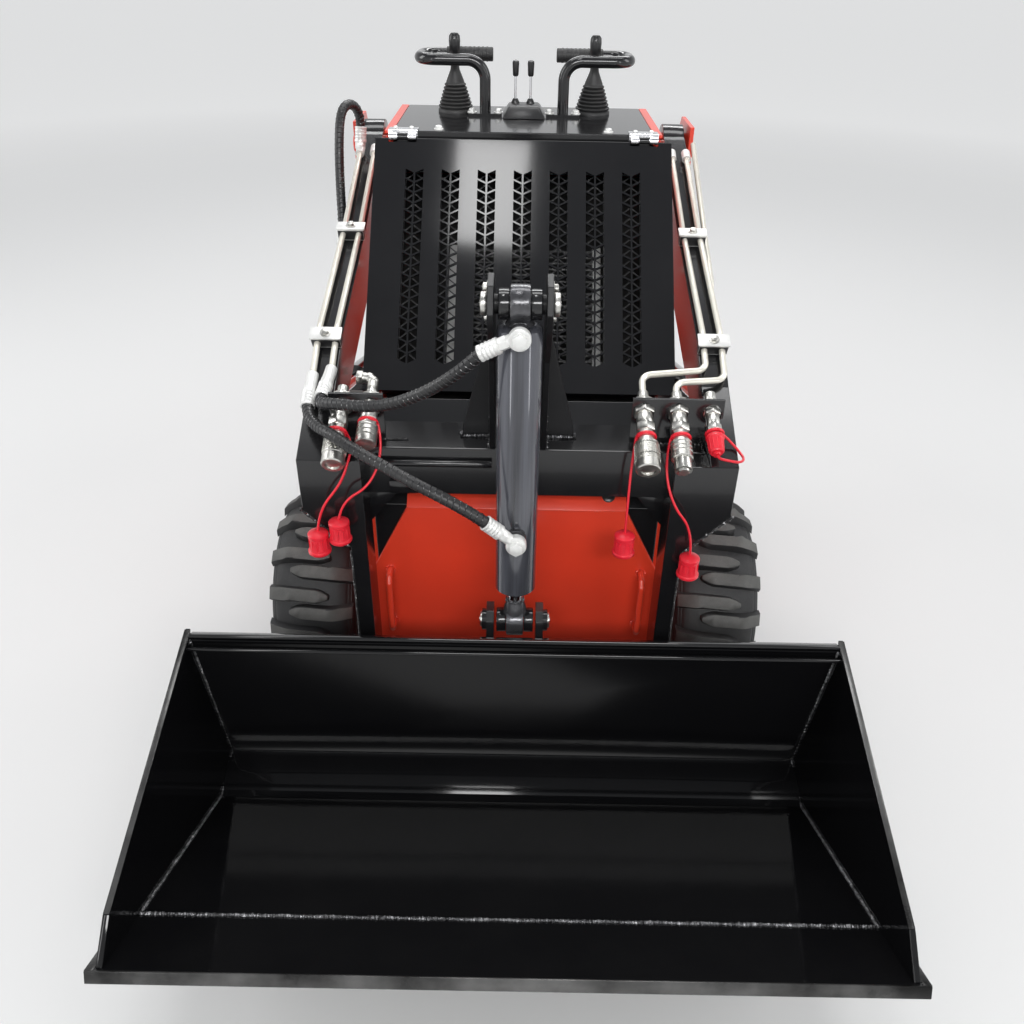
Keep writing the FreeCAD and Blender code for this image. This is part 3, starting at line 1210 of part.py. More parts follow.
def couplers():
    """Quick couplers through a bracket on each side, with their dust caps on straps."""
    short = "coupler_length - short_coupler_cut"
    sets = [
        ("left", 1, (("222", "coupler_length"), ("282", "coupler_length"), ("342", short)), ("200", "362")),
        ("right", -1, (("-262", short), ("-314", "coupler_length")), ("-334", "-238")),
    ]
    along = "coupler_plate_along"
    foot = "beam_top_height"
    top = "coupler_height + 24"
    brackets = []
    solids = {}
    for side, sign, places, (low, high) in sets:
        bodies = []
        for number, (across, length) in enumerate(places):
            bodies += [
                strut("Coupler%s%d" % (side, number), on_coupler(across, "-coupler_tail"), on_coupler(across, length),
                      "coupler_radius"),
                strut("Sleeve%s%d" % (side, number), on_coupler(across, "(%s) - 48" % length),
                      on_coupler(across, "(%s) - 6" % length), "sleeve_radius"),
            ]
        solids[side] = fuse("Couplers" + side.title(), bodies)
        corners = [(low, foot), (high, foot), (high, top), (low, top)]
        if sign > 0:
            corners[1:2] = [("arm_inner_across - 2", foot), ("arm_inner_across - 2", "arm_nose_height + 56"),
                            (high, "arm_nose_height + 56")]
        bracket = new_body("CouplerBracket" + side.title())
        plate(bracket, "XZ_Plane", corners, "%s - 6" % along, along)
        brackets.append(cut("BracketBored" + side.title(), bracket, solids[side]))
    node("coupler_brackets", together("CouplerBrackets", brackets))
    node("couplers", together("Couplers", list(solids.values())))

    # Columns: name, coupler, its ring's reach, side the strap leaves on, cap's place, strap's way down
    hanging = {
        "left": [
            ("CapOne", "222", "59", -1, ("196", "-452", "600"),
             [("200", "-424", "752"), ("196", "-450", "690")]),
            ("CapTwo", "282", "59", -1, ("316", "-464", "562"),
             [("257", "-424", "752"), ("272", "-462", "690"), ("314", "-466", "640")]),
        ],
        "right": [
            ("CapFour", "-262", "32", 1, ("-314", "-472", "632"),
             [("-235", "-414", "768"), ("-254", "-458", "716"), ("-306", "-472", "690")]),
            ("CapFive", "-314", "59", 1, ("-353", "-474", "608"),
             [on_coupler("-290", "66", "26"), ("-290", "-450", "764"), ("-304", "-466", "724"), ("-347", "-474", "672")]),
        ],
    }
    caps = []
    for side, rows in hanging.items():
        for name, across, reach, turn, (cap_across, cap_along, cap_height), way in rows:
            rim = on_coupler("%s + %d * (coupler_radius + 1.5)" % (across, turn), reach)
            mouth = (cap_across, cap_along, "%s + 17" % cap_height)
            strap, wire, radii = tube(name + "Strap", [rim] + way + [mouth], "2.5", None)
            cap = strut(name, (cap_across, cap_along, "%s - 22" % cap_height),
                        (cap_across, cap_along, "%s + 18" % cap_height), "18")
            ring = strut(name + "Ring", on_coupler(across, "%s - 5" % reach), on_coupler(across, "%s + 5" % reach),
                         "coupler_radius + 2.5")
            caps.append(cut(name + "Seated", fuse(name + "OnStrap", [strap, cap, ring]), solids[side]))
    fitted = strut("CapThree", on_coupler("342", "%s - 40" % short), on_coupler("342", "%s + 5" % short),
                   "sleeve_radius + 2")
    caps.append(cut("CapThreeSeated", fitted, solids["left"]))
    node("dust_caps", together("DustCaps", caps))


def tilt_plumbing():
    """Ports on the front of the tilt cylinder's barrel, with the elbows that its hoses end in."""
    reach = "sqrt((tilt_eye_along - tilt_base_along)^2 + (tilt_eye_height - tilt_base_height)^2)"

    def on_barrel(down, stand):
        """Point at a distance from the base pin towards the eye, and in front of the barrel's axis."""
        return ("0",
                "tilt_base_along + ((%s) * (tilt_eye_along - tilt_base_along)"
                " + (%s) * (tilt_eye_height - tilt_base_height)) / %s" % (down, stand, reach),
                "tilt_base_height + ((%s) * (tilt_eye_height - tilt_base_height)"
                " - (%s) * (tilt_eye_along - tilt_base_along)) / %s" % (down, stand, reach))

    pieces = []
    for name, down, out in (("Head", "tilt_head_port", "66"), ("Rod", "%s - tilt_rod_out - tilt_rod_port" % reach, "74")):
        pieces.append(strut(name + "Port", on_barrel(down, "tilt_bore_radius + 2"), on_barrel(down, out), "11"))
    pieces.append(hose_end("HeadElbow", "tilt_hose_head", "last", 38, "10"))
    pieces.append(hose_end("RodElbow", "tilt_hose_rod", "last", 41, "10"))
    barrel = next(item for item in doc.Objects if item.Label == "tilt_barrel")
    node("tilt_ports", cut("TiltPorts", fuse("PortSolids", pieces), barrel))


def hoses():
    for label, points in HOSES.items():
        hose, wire, radii = tube(label.title().replace("_", ""), points, "hose_radius", None)
        node(label, hose)
        cords.append((label, wire, radii))


front_panel()
front_cowl()
chassis_floor()
chassis_sides()
rear_panel()
console()
uprights()
engine()
wheel_motors()
wheels()
hood()
arms()
tower()
cylinders()
bucket()
hitch()
platform()
handles()
lines()
couplers()
tilt_plumbing()
hoses()
doc.recompute()

faults = []
for item in doc.Objects:
    if "Invalid" in item.State or "Error" in item.State:
        faults.append("%s failed: %s" % (item.Name, item.State))
for item in nodes:
    if item.Shape.isNull() or not item.Shape.isValid() or not item.Shape.Solids:
        faults.append("%s has no valid shape" % item.Label)
if faults:
    raise SystemExit("\n".join(faults))

os.makedirs("parts", exist_ok=True)
for item in nodes:
    item.Shape.exportStep("parts/%s.step" % item.Label)
for label, wire, radii in cords:
    solid = next(item for item in nodes if item.Label == label)
    volume = solid.Shape.Volume / (math.pi * size("hose_radius") ** 2 * wire.Shape.Length)
    print("%s: %.0f mm, radii %s, volume ratio %.3f" % (
        label, wire.Shape.Length, " ".join("%.0f" % radius for radius in radii), volume))
print("%d sub-parts written" % len(nodes))
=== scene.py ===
import json
import math
import bmesh
import bpy
from mathutils import Matrix, Vector


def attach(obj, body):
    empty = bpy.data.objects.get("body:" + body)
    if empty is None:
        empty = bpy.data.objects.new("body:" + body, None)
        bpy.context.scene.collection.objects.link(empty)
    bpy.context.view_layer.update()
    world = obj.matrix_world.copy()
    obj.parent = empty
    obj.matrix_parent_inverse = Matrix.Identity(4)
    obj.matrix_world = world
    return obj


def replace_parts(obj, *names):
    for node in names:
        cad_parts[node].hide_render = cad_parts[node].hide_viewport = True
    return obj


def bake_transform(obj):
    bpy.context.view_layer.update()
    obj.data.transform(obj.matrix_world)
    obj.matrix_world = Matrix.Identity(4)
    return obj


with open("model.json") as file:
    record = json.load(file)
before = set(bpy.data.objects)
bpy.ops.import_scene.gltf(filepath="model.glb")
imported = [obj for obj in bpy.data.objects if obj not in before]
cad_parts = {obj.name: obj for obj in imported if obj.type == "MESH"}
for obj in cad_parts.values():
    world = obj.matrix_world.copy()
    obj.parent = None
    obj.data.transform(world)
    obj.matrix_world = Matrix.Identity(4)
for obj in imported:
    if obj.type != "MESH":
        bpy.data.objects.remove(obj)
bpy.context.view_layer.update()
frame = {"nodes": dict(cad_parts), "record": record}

# Compact wheeled loader, in metres: +X is the machine's left, -Y runs to the bucket, the tyres stand on z = 0.

nodes = frame["nodes"]
bodyOf = {name: body for body, names in frame["record"]["behaviour"]["bodies"].items() for name in names}
scene = bpy.context.scene


# Finishes: every material runs through the dust layer, with its own amounts.

def newGroup(name, inputs, outputs):
    group = bpy.data.node_groups.new(name, "ShaderNodeTree")
    for label, kind, value in inputs:
        socket = group.interface.new_socket(name=label, in_out="INPUT", socket_type=kind)
        socket.default_value = value
    for label, kind in outputs:
        group.interface.new_socket(name=label, in_out="OUTPUT", socket_type=kind)
    return group, group.nodes.new("NodeGroupInput"), group.nodes.new("NodeGroupOutput")


def mathNode(tree, operation, first, second, clamp=False):
    node = tree.nodes.new("ShaderNodeMath")
    node.operation = operation
    node.use_clamp = clamp
    for slot, value in ((0, first), (1, second)):
        if isinstance(value, (int, float)):
            node.inputs[slot].default_value = value
        else:
            tree.links.new(value, node.inputs[slot])
    return node.outputs[0]


def noiseNode(tree, scale, detail=3.0, roughness=0.5, stretch=(1, 1, 1)):
    place = tree.nodes.new("ShaderNodeTexCoord")
    mapping = tree.nodes.new("ShaderNodeMapping")
    mapping.inputs["Scale"].default_value = stretch
    noise = tree.nodes.new("ShaderNodeTexNoise")
    noise.inputs["Detail"].default_value = detail
    noise.inputs["Roughness"].default_value = roughness
    tree.links.new(place.outputs["Object"], mapping.inputs["Vector"])
    tree.links.new(mapping.outputs["Vector"], noise.inputs["Vector"])
    if isinstance(scale, (int, float)):
        noise.inputs["Scale"].default_value = scale
    else:
        tree.links.new(scale, noise.inputs["Scale"])
    return noise.outputs["Fac"]


def rangeNode(tree, value, low, high, toLow=0.0, toHigh=1.0):
    node = tree.nodes.new("ShaderNodeMapRange")
    node.inputs["From Min"].default_value = low
    node.inputs["From Max"].default_value = high
    node.inputs["To Min"].default_value = toLow
    node.inputs["To Max"].default_value = toHigh
    tree.links.new(value, node.inputs["Value"])
    return node.outputs["Result"]


def mixColour(tree, factor, first, second):
    node = tree.nodes.new("ShaderNodeMix")
    node.data_type = "RGBA"
    colours = [socket for socket in node.inputs if socket.type == "RGBA"]
    for socket, value in ((node.inputs["Factor"], factor), (colours[0], first), (colours[1], second)):
        if isinstance(value, (int, float, tuple)):
            socket.default_value = value
        else:
            tree.links.new(value, socket)
    return [socket for socket in node.outputs if socket.type == "RGBA"][0]


def buildDustGroup():
    group, entry, leave = newGroup(
        "dustLayer",
        [("Colour", "NodeSocketColor", (0.5, 0.5, 0.5, 1)), ("Roughness", "NodeSocketFloat", 0.4),
         ("Dust colour", "NodeSocketColor", (0.35, 0.32, 0.28, 1)), ("Amount", "NodeSocketFloat", 0.3),
         ("Scale", "NodeSocketFloat", 7.0)],
        [("Colour", "NodeSocketColor"), ("Roughness", "NodeSocketFloat")])
    shape = group.nodes.new("ShaderNodeNewGeometry")
    split = group.nodes.new("ShaderNodeSeparateXYZ")
    group.links.new(shape.outputs["Normal"], split.inputs["Vector"])
    upward = rangeNode(group, split.outputs["Z"], -0.4, 1.0, 0.25, 1.0)
    cloud = rangeNode(group, noiseNode(group, entry.outputs["Scale"], 8.0, 0.65), 0.42, 0.78)
    speck = rangeNode(group, noiseNode(group, 260.0, 2.0), 0.55, 0.8)
    mask = mathNode(group, "MULTIPLY", mathNode(group, "ADD", cloud, mathNode(group, "MULTIPLY", speck, 0.4)), upward)
    mask = mathNode(group, "MULTIPLY", mask, entry.outputs["Amount"], True)
    group.links.new(mixColour(group, mask, entry.outputs["Colour"], entry.outputs["Dust colour"]),
                    leave.inputs["Colour"])
    rough = group.nodes.new("ShaderNodeMix")
    group.links.new(mask, rough.inputs["Factor"])
    group.links.new(entry.outputs["Roughness"], rough.inputs[2])
    rough.inputs[3].default_value = 0.8
    group.links.new(rough.outputs[0], leave.inputs["Roughness"])
    return group


dustGroup = buildDustGroup()


def makeFinish(name, colour, roughness, metallic=0.0, coat=0.0, dust=0.1, dustColour=(0.30, 0.29, 0.27),
               dustScale=7.0, shade=0.0, shadeScale=3.0, grain=0.0, grainScale=400.0, stretch=(1, 1, 1),
               specular=0.5):
    material = bpy.data.materials.new(name)
    material.use_nodes = True
    tree = material.node_tree
    shader = tree.nodes["Principled BSDF"]
    shader.inputs["Metallic"].default_value = metallic
    shader.inputs["Coat Weight"].default_value = coat
    shader.inputs["Coat Roughness"].default_value = 0.05
    shader.inputs["Specular IOR Level"].default_value = specular
    base = (*colour, 1.0)
    # shade mixes in darker patches by noise: a random tone in most finishes, but painted reflection streaks on the
    # barrel and painted reflection patches on the worn edges
    if shade:
        darker = tuple(c * (1 - shade) for c in colour) + (1.0,)
        patch = rangeNode(tree, noiseNode(tree, shadeScale, 6.0, 0.6, stretch), 0.35, 0.7)
        base = mixColour(tree, patch, darker, base)
    layer = tree.nodes.new("ShaderNodeGroup")
    layer.node_tree = dustGroup
    if isinstance(base, tuple):
        layer.inputs["Colour"].default_value = base
    else:
        tree.links.new(base, layer.inputs["Colour"])
    layer.inputs["Roughness"].default_value = roughness
    layer.inputs["Dust colour"].default_value = (*dustColour, 1.0)
    layer.inputs["Amount"].default_value = dust
    layer.inputs["Scale"].default_value = dustScale
    tree.links.new(layer.outputs["Colour"], shader.inputs["Base Color"])
    tree.links.new(layer.outputs["Roughness"], shader.inputs["Roughness"])
    if grain:
        bump = tree.nodes.new("ShaderNodeBump")
        bump.inputs["Strength"].default_value = grain
        bump.inputs["Distance"].default_value = 0.001
        tree.links.new(noiseNode(tree, grainScale, 4.0, 0.6, stretch), bump.inputs["Height"])
        tree.links.new(bump.outputs["Normal"], shader.inputs["Normal"])
    return material


finishes = {
    "blackPaint": makeFinish("blackPaint", (0.008, 0.008, 0.009), 0.15, coat=0.25, dust=0.03, grain=0.05, grainScale=14.0),
    "hoodPaint": makeFinish("hoodPaint", (0.006, 0.006, 0.007), 0.09, coat=0.15, dust=0.012, grain=0.02, grainScale=9.0,
                            specular=0.4),
    "bucketPaint": makeFinish("bucketPaint", (0.0035, 0.0035, 0.004), 0.08, coat=0.12, dust=0.006, grain=0.08, grainScale=6.0,
                              specular=0.42),
    # dark worn steel with lighter patches: partly wear, partly painted reflection
    "wornEdgeAndSheen": makeFinish("wornEdgeAndSheen", (0.17, 0.168, 0.165), 0.22, metallic=0.6, dust=0.02, shade=0.97, shadeScale=5.5,
                           grain=0.25, grainScale=160.0),
    "towerPaint": makeFinish("towerPaint", (0.006, 0.006, 0.007), 0.40, dust=0.03, grain=0.05, grainScale=14.0, specular=0.3),
    "redPaint": makeFinish("redPaint", (0.78, 0.052, 0.022), 0.3, coat=0.3, dust=0.05, dustColour=(0.45, 0.2, 0.14),
                           shade=0.08, shadeScale=5.0, grain=0.06, grainScale=25.0),
    "lineZinc": makeFinish("lineZinc", (0.84, 0.81, 0.72), 0.25, metallic=0.5, dust=0.03, shade=0.12, shadeScale=5.0),
    "zinc": makeFinish("zinc", (0.72, 0.71, 0.67), 0.30, metallic=1.0, dust=0.05, shade=0.3, shadeScale=60.0,
                       grain=0.06, grainScale=500.0),
    "whiteZinc": makeFinish("whiteZinc", (0.82, 0.82, 0.80), 0.34, metallic=0.35, dust=0.04, shade=0.15, shadeScale=60.0),
    "chrome": makeFinish("chrome", (0.82, 0.82, 0.84), 0.08, metallic=1.0, dust=0.02),
    "bareSteel": makeFinish("bareSteel", (0.42, 0.41, 0.40), 0.34, metallic=0.7, dust=0.12, shade=0.55, shadeScale=25.0,
                            grain=0.3, grainScale=300.0),
    "weldSteel": makeFinish("weldSteel", (0.30, 0.30, 0.31), 0.3, metallic=0.9, dust=0.1, shade=0.9, shadeScale=70.0,
                            grain=0.5, grainScale=420.0),
    "paintedWeld": makeFinish("paintedWeld", (0.012, 0.012, 0.013), 0.14, coat=0.4, dust=0.03, grain=0.4, grainScale=260.0),
    # painted reflections: noise stretched along the barrel paints light streaks where reflections of lamps would fall
    "barrelPaintedReflections": makeFinish("barrelPaintedReflections", (0.135, 0.140, 0.165), 0.16, metallic=0.35, coat=0.8, dust=0.02, shade=0.88,
                              shadeScale=34.0, grain=0.03, grainScale=30.0, stretch=(1, 0.35, 0.02)),
    "castPaint": makeFinish("castPaint", (0.12, 0.12, 0.13), 0.24, metallic=0.6, coat=0.4, dust=0.04, shade=0.6,
                            shadeScale=35.0, grain=0.5, grainScale=120.0),
    "lugRubber": makeFinish("lugRubber", (0.085, 0.084, 0.080), 0.66, dust=0.5, dustColour=(0.17, 0.166, 0.156),
                            dustScale=12.0, shade=0.35, shadeScale=18.0, grain=0.35, grainScale=420.0),
    "tyreRubber": makeFinish("tyreRubber", (0.015, 0.015, 0.016), 0.6, dust=0.3, dustColour=(0.12, 0.117, 0.11),
                             dustScale=9.0, grain=0.4, grainScale=500.0),
    "rimPaint": makeFinish("rimPaint", (0.02, 0.02, 0.022), 0.35, coat=0.2, dust=0.25),
    "castBlock": makeFinish("castBlock", (0.055, 0.055, 0.06), 0.55, dust=0.3, grain=0.6, grainScale=220.0),
    "bootRubber": makeFinish("bootRubber", (0.014, 0.014, 0.015), 0.5, dust=0.15, grain=0.2, grainScale=700.0),
    "hoseRubber": makeFinish("hoseRubber", (0.010, 0.010, 0.011), 0.36, dust=0.1, grain=0.3, grainScale=600.0),
    "guardPlastic": makeFinish("guardPlastic", (0.012, 0.012, 0.014), 0.2, coat=0.3, dust=0.06, grain=0.1, grainScale=300.0),
    "knobPlastic": makeFinish("knobPlastic", (0.012, 0.012, 0.013), 0.28, dust=0.1, grain=0.1, grainScale=600.0),
    "capPlastic": makeFinish("capPlastic", (0.70, 0.014, 0.03), 0.35, dust=0.05, dustColour=(0.5, 0.2, 0.18), grain=0.1,
                             grainScale=400.0),
    "slatPaint": makeFinish("slatPaint", (0.020, 0.020, 0.022), 0.35, dust=0.1, grain=0.1),
    "tankPaint": makeFinish("tankPaint", (0.50, 0.50, 0.49), 0.5, metallic=0.2, dust=0.2, shade=0.2, shadeScale=30.0,
                            grain=0.2, grainScale=300.0),
    "finPaint": makeFinish("finPaint", (0.10, 0.10, 0.10), 0.4, metallic=0.4, dust=0.2, grain=0.2, grainScale=300.0),
    # near-black and barely reflective: painted shade for the hollow seen through the hood's slots
    "shroudAndShadePaint": makeFinish("shroudAndShadePaint", (0.004, 0.004, 0.004), 0.7, dust=0.05, grain=0.2, specular=0.2),
    "seal": makeFinish("seal", (0.03, 0.03, 0.03), 0.5, dust=0.1, grain=0.1),
}
slotFinish = {"red_paint": "redPaint", "black_paint": "blackPaint", "bucket_paint": "bucketPaint",
              "worn_steel": "bareSteel", "zinc": "zinc", "chrome": "chrome", "cast": "castBlock",
              "rim_paint": "rimPaint", "tyre": "tyreRubber", "rubber": "bootRubber", "hose": "hoseRubber",
              "black_plastic": "knobPlastic", "red_plastic": "capPlastic"}
nodeFinish = {"hood_panel": "hoodPaint", "tilt_tower": "towerPaint", "line_tubes": "lineZinc", "tilt_barrel": "barrelPaintedReflections",
              "line_fittings": "whiteZinc", "tilt_ports": "whiteZinc", "cutting_edge": "bucketPaint"}
for subpart in frame["record"]["subparts"]:
    plain = nodes[subpart["node"]]
    finish = nodeFinish.get(subpart["node"], slotFinish[subpart["material_slot"]])
    for place in plain.material_slots:
        place.material = finishes[finish]

# Sheet and plate parts get a thin rounded edge, so that their rims catch the light.
edgeWidths = {"side_panels": 0.0012, "front_panel": 0.0015, "front_cowl": 0.0015, "rear_panel": 0.0012,
              "console": 0.0025, "uprights": 0.0012, "platform": 0.0012, "platform_brackets": 0.001,
              "arm_left": 0.0015, "arm_right": 0.0015, "cross_member": 0.002, "tilt_tower": 0.0012,
              "coupler_brackets": 0.001, "bucket_shell": 0.0015, "hitch_plate": 0.0015, "cutting_edge": 0.0015,
              "belly_plate": 0.001, "engine_block": 0.004, "centre_controls": 0.002}
for name, width in edgeWidths.items():
    plain = nodes[name]
    weld = plain.modifiers.new("weld", "WELD")
    weld.merge_threshold = 0.00002
    flat = plain.modifiers.new("flat", "DECIMATE")
    flat.decimate_type = "DISSOLVE"
    flat.angle_limit = math.radians(0.5)
    edge = plain.modifiers.new("edge", "BEVEL")
    edge.width = width
    edge.segments = 2
    edge.limit_method = "ANGLE"
    edge.angle_limit = math.radians(40)
print("finishes on the packed parts")


# Shapes that the pieces below are put together from.

def lineFrame(start, end):
    start, end = Vector(start), Vector(end)
    return Matrix.Translation(start) @ (end - start).to_track_quat("Z", "Y").to_matrix().to_4x4()


def roundEdges(shape, points, width, angle=40):
    chosen = set(points)
    edges = [edge for edge in shape.edges if edge.verts[0] in chosen and len(edge.link_faces) == 2
             and edge.calc_face_angle() > math.radians(angle)]
    bmesh.ops.bevel(shape, geom=edges, offset=width, offset_type="OFFSET", segments=2, profile=0.5,
                    affect="EDGES", material=-1)


def addBox(shape, low, high, rounding=0.0, turn=None):
    points = bmesh.ops.create_cube(shape, size=1.0)["verts"]
    bmesh.ops.scale(shape, verts=points, vec=Vector(high) - Vector(low))
    bmesh.ops.translate(shape, verts=points, vec=(Vector(high) + Vector(low)) / 2)
    if turn:
        bmesh.ops.transform(shape, verts=points, matrix=turn)
    if rounding:
        roundEdges(shape, points, rounding)


def addRod(shape, start, end, radius, sides=24, rounding=0.0, farRadius=None, roll=0.0):
    start, end = Vector(start), Vector(end)
    length = (end - start).length
    matrix = lineFrame(start, end) @ Matrix.Translation((0, 0, length / 2)) @ Matrix.Rotation(roll, 4, "Z")
    points = bmesh.ops.create_cone(shape, cap_ends=True, segments=sides, radius1=radius, depth=length, matrix=matrix,
                                   radius2=radius if farRadius is None else farRadius)["verts"]
    if rounding:
        roundEdges(shape, points, rounding, 50 if sides <= 8 else 40)


def addSpin(shape, profile, start, end, steps=32, closed=False):
    """profile holds pairs: distance along the line from start, and distance out from it."""
    matrix = lineFrame(start, end)
    points = [shape.verts.new(matrix @ Vector((out, 0, along))) for along, out in profile]
    edges = [shape.edges.new(pair) for pair in zip(points, points[1:])]
    if closed:
        edges.append(shape.edges.new((points[-1], points[0])))
    bmesh.ops.spin(shape, geom=points + edges, cent=Vector(start), axis=Vector(end) - Vector(start),
                   angle=math.radians(360), steps=steps, use_merge=True)


def addBolt(shape, place, out, across=0.016, height=0.007, washer=True, roll=0.3):
    """Hexagon head on a washer."""
    place, out = Vector(place), Vector(out).normalized()
    if washer:
        addRod(shape, place - out * 0.001, place + out * 0.0018, across * 0.78, 24, 0.0005)
    addRod(shape, place, place + out * height, across / 2 / math.cos(math.pi / 6), 6, 0.0012, roll=roll)
    addRod(shape, place + out * (height - 0.001), place + out * (height + 0.0006), across * 0.36, 18, 0.0004)


def addBead(shape, path, radius=0.0035, step=0.0036):
    """Row of overlapping drops along a run of points, as a weld."""
    turn = 0
    for first, last in zip(path, path[1:]):
        first, last = Vector(first), Vector(last)
        count = max(1, round((last - first).length / step))
        for number in range(count):
            turn += 1
            size = radius * (1.0 + 0.16 * math.sin(turn * 2.3) + 0.1 * math.sin(turn * 0.37))
            place = first.lerp(last, number / count)
            bmesh.ops.create_icosphere(shape, subdivisions=1, radius=size,
                                       matrix=Matrix.Translation(place) @ Matrix.Rotation(turn * 1.1, 4, "X"))


def finishPiece(name, shape, finish, body, sharp=38):
    bmesh.ops.remove_doubles(shape, verts=shape.verts, dist=0.000004)
    bmesh.ops.recalc_face_normals(shape, faces=shape.faces)
    mesh = bpy.data.meshes.new(name)
    shape.to_mesh(mesh)
    shape.free()
    mesh.materials.append(finishes[finish])
    mesh.polygons.foreach_set("use_smooth", [True] * len(mesh.polygons))
    mesh.set_sharp_from_angle(angle=math.radians(sharp))
    piece = bpy.data.objects.new(name, mesh)
    scene.collection.objects.link(piece)
    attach(piece, body)
    return piece


# Tyres: a round carcass with one lug every 11.25 degrees, from the left and the right shoulder in turn.

tyre = {"radius": 0.2285, "half": 0.089, "bead": 0.1015, "lugsAround": 32, "lugHalfWidth": 0.0145,
        "profile": [(0.064, 0.1015), (0.071, 0.109), (0.080, 0.124), (0.0868, 0.146), (0.0886, 0.166), (0.0876, 0.179),
                    (0.0862, 0.1805), (0.0864, 0.1828), (0.0836, 0.1868), (0.0820, 0.1870), (0.0816, 0.1896),
                    (0.0778, 0.1934), (0.0762, 0.1936), (0.0756, 0.1962), (0.0700, 0.2005), (0.060, 0.2055),
                    (0.040, 0.2095), (0.018, 0.2112)]}


def buildLug():
    """One lug, reaching in from the +X shoulder at the top of the tyre."""
    half, radius = tyre["half"], tyre["radius"]
    shape = bmesh.new()
    bmesh.ops.create_cube(shape, size=1.0)
    edges = [edge for edge in shape.edges if abs(edge.verts[0].co.x - edge.verts[1].co.x) > 0.5]
    bmesh.ops.subdivide_edges(shape, edges=edges, cuts=9)
    for point in shape.verts:
        share = 0.5 - point.co.x                            # 0 at the shoulder, 1 at the tip
        across = half * (1.0 - 1.46 * share)
        width = tyre["lugHalfWidth"] * (1.0 if share < 0.84 else math.sqrt(max(0.0, 1 - ((share - 0.84) / 0.168) ** 2)))
        high = point.co.z > 0
        drop = 0.026 * max(0.0, (across / half - 0.6) / 0.4) ** 1.15 + 0.0016 * (across / half) ** 2
        out = radius - drop if high else min(0.202, radius - drop - 0.018)
        width *= 0.93 if high else 1.16
        swing = 0.010 * max(0.0, share - 0.35)              # the inner end trails a little
        point.co = Vector((across, point.co.y * 2 * width + swing, out))
    edges = [edge for edge in shape.edges if len(edge.link_faces) == 2 and edge.calc_face_angle() > math.radians(32)
             and min(point.co.z for point in edge.verts) > 0.19]
    bmesh.ops.bevel(shape, geom=edges, offset=0.0028, offset_type="OFFSET", segments=2, profile=0.5,
                    affect="EDGES", material=-1)
    for face in shape.faces:
        face.material_index = 1 if face.normal.z > 0.55 else 0
    mesh = bpy.data.meshes.new("lug")
    shape.to_mesh(mesh)
    shape.free()
    return mesh


lug = buildLug()


def buildTyre(name, centre, body):
    shape = bmesh.new()
    for number in range(tyre["lugsAround"]):
        turn = Matrix.Rotation(number * math.tau / tyre["lugsAround"], 4, "X")
        before = len(shape.verts)
        shape.from_mesh(lug)
        shape.verts.ensure_lookup_table()
        bmesh.ops.transform(shape, verts=shape.verts[before:],
                            matrix=turn @ Matrix.Rotation(math.pi, 4, "Z") if number % 2 else turn)
    right = [(across, out) for across, out in tyre["profile"]]
    profile = right + [(0.0, 0.2115)] + [(-across, out) for across, out in right[::-1]]
    addSpin(shape, profile, (0, 0, 0), (1, 0, 0), 96, closed=True)
    bmesh.ops.translate(shape, verts=shape.verts, vec=centre)
    piece = finishPiece(name, shape, "tyreRubber", body, 42)
    piece.data.materials.append(finishes["lugRubber"])
    return piece


wheels = {"front_left": (0.4335, -0.123), "rear_left": (0.4335, 0.5),
          "front_right": (-0.4335, -0.123), "rear_right": (-0.4335, 0.5)}
for place, (across, along) in wheels.items():
    piece = buildTyre("lugTyre_" + place, (across, along, tyre["radius"]), bodyOf["tyre_" + place])
    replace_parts(piece, "tyre_" + place)
    side = 1 if across > 0 else -1
    shape = bmesh.new()                                     # wheel bolts, valve and hub cap on the outer face
    for number in range(5):
        angle = number * math.tau / 5
        spot = Vector((across + side * 0.016, along + 0.062 * math.cos(angle), tyre["radius"] + 0.062 * math.sin(angle)))
        addBolt(shape, spot, (side, 0, 0), 0.019, 0.012)
    addRod(shape, (across + side * 0.014, along, tyre["radius"]), (across + side * 0.040, along, tyre["radius"]), 0.030, 32, 0.003)
    addRod(shape, (across + side * 0.012, along + 0.078, tyre["radius"] + 0.02),
           (across + side * 0.040, along + 0.083, tyre["radius"] + 0.021), 0.0035, 12, 0.0008)
    finishPiece("wheelBolts_" + place, shape, "zinc", bodyOf["rim_" + place])
bpy.data.meshes.remove(lug)
print("tyres")


# Hoses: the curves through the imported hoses' own points, with spiral guards wound round them.

hose = {"radius": 0.010, "guardRadius": 0.0104, "guardRise": 0.0011, "guardPitch": 0.0105, "guardSink": 0.0006,
        "runs": {
            "tilt_hose_head": [(-348, -319, 835), (-351, -350, 824.5), (-342, -388, 838), (-304, -416, 851),
                               (-258, -436, 857), (-214, -451, 869), (-168, -472, 895), (-124, -497, 929),
                               (-84, -518, 968), (-55.7, -528.4, 998.8), (-34, -529, 1009)],
            "tilt_hose_rod": [(-376, -329, 823), (-376, -359.7, 808.3), (-352, -410, 806), (-315, -455, 815),
                              (-270, -485, 800), (-220, -510, 786), (-170, -535, 770), (-120, -555, 755),
                              (-76, -563, 732), (-48.2, -562, 710), (-30, -559, 693)],
            "arm_hose": [(-376, 416, 1116), (-373, 425, 1153), (-379, 407, 1186), (-392, 374, 1198),
                         (-404, 341, 1182), (-408, 314, 1117), (-408, 288, 1030), (-404, 262, 963),
                         (-404, 240, 931)]}}


def curveThrough(name, points, thick, order=3, resolution=10, depth=6):
    data = bpy.data.curves.new(name, "CURVE")
    data.dimensions = "3D"
    data.bevel_depth = thick
    data.bevel_resolution = depth
    data.use_fill_caps = thick > 0
    data.resolution_u = resolution
    run = data.splines.new("NURBS")
    run.points.add(len(points) - 1)
    for point, place in zip(run.points, points):
        point.co = (*place, 1.0)
    run.order_u = order
    run.use_endpoint_u = True
    curve = bpy.data.objects.new(name, data)
    scene.collection.objects.link(curve)
    return curve


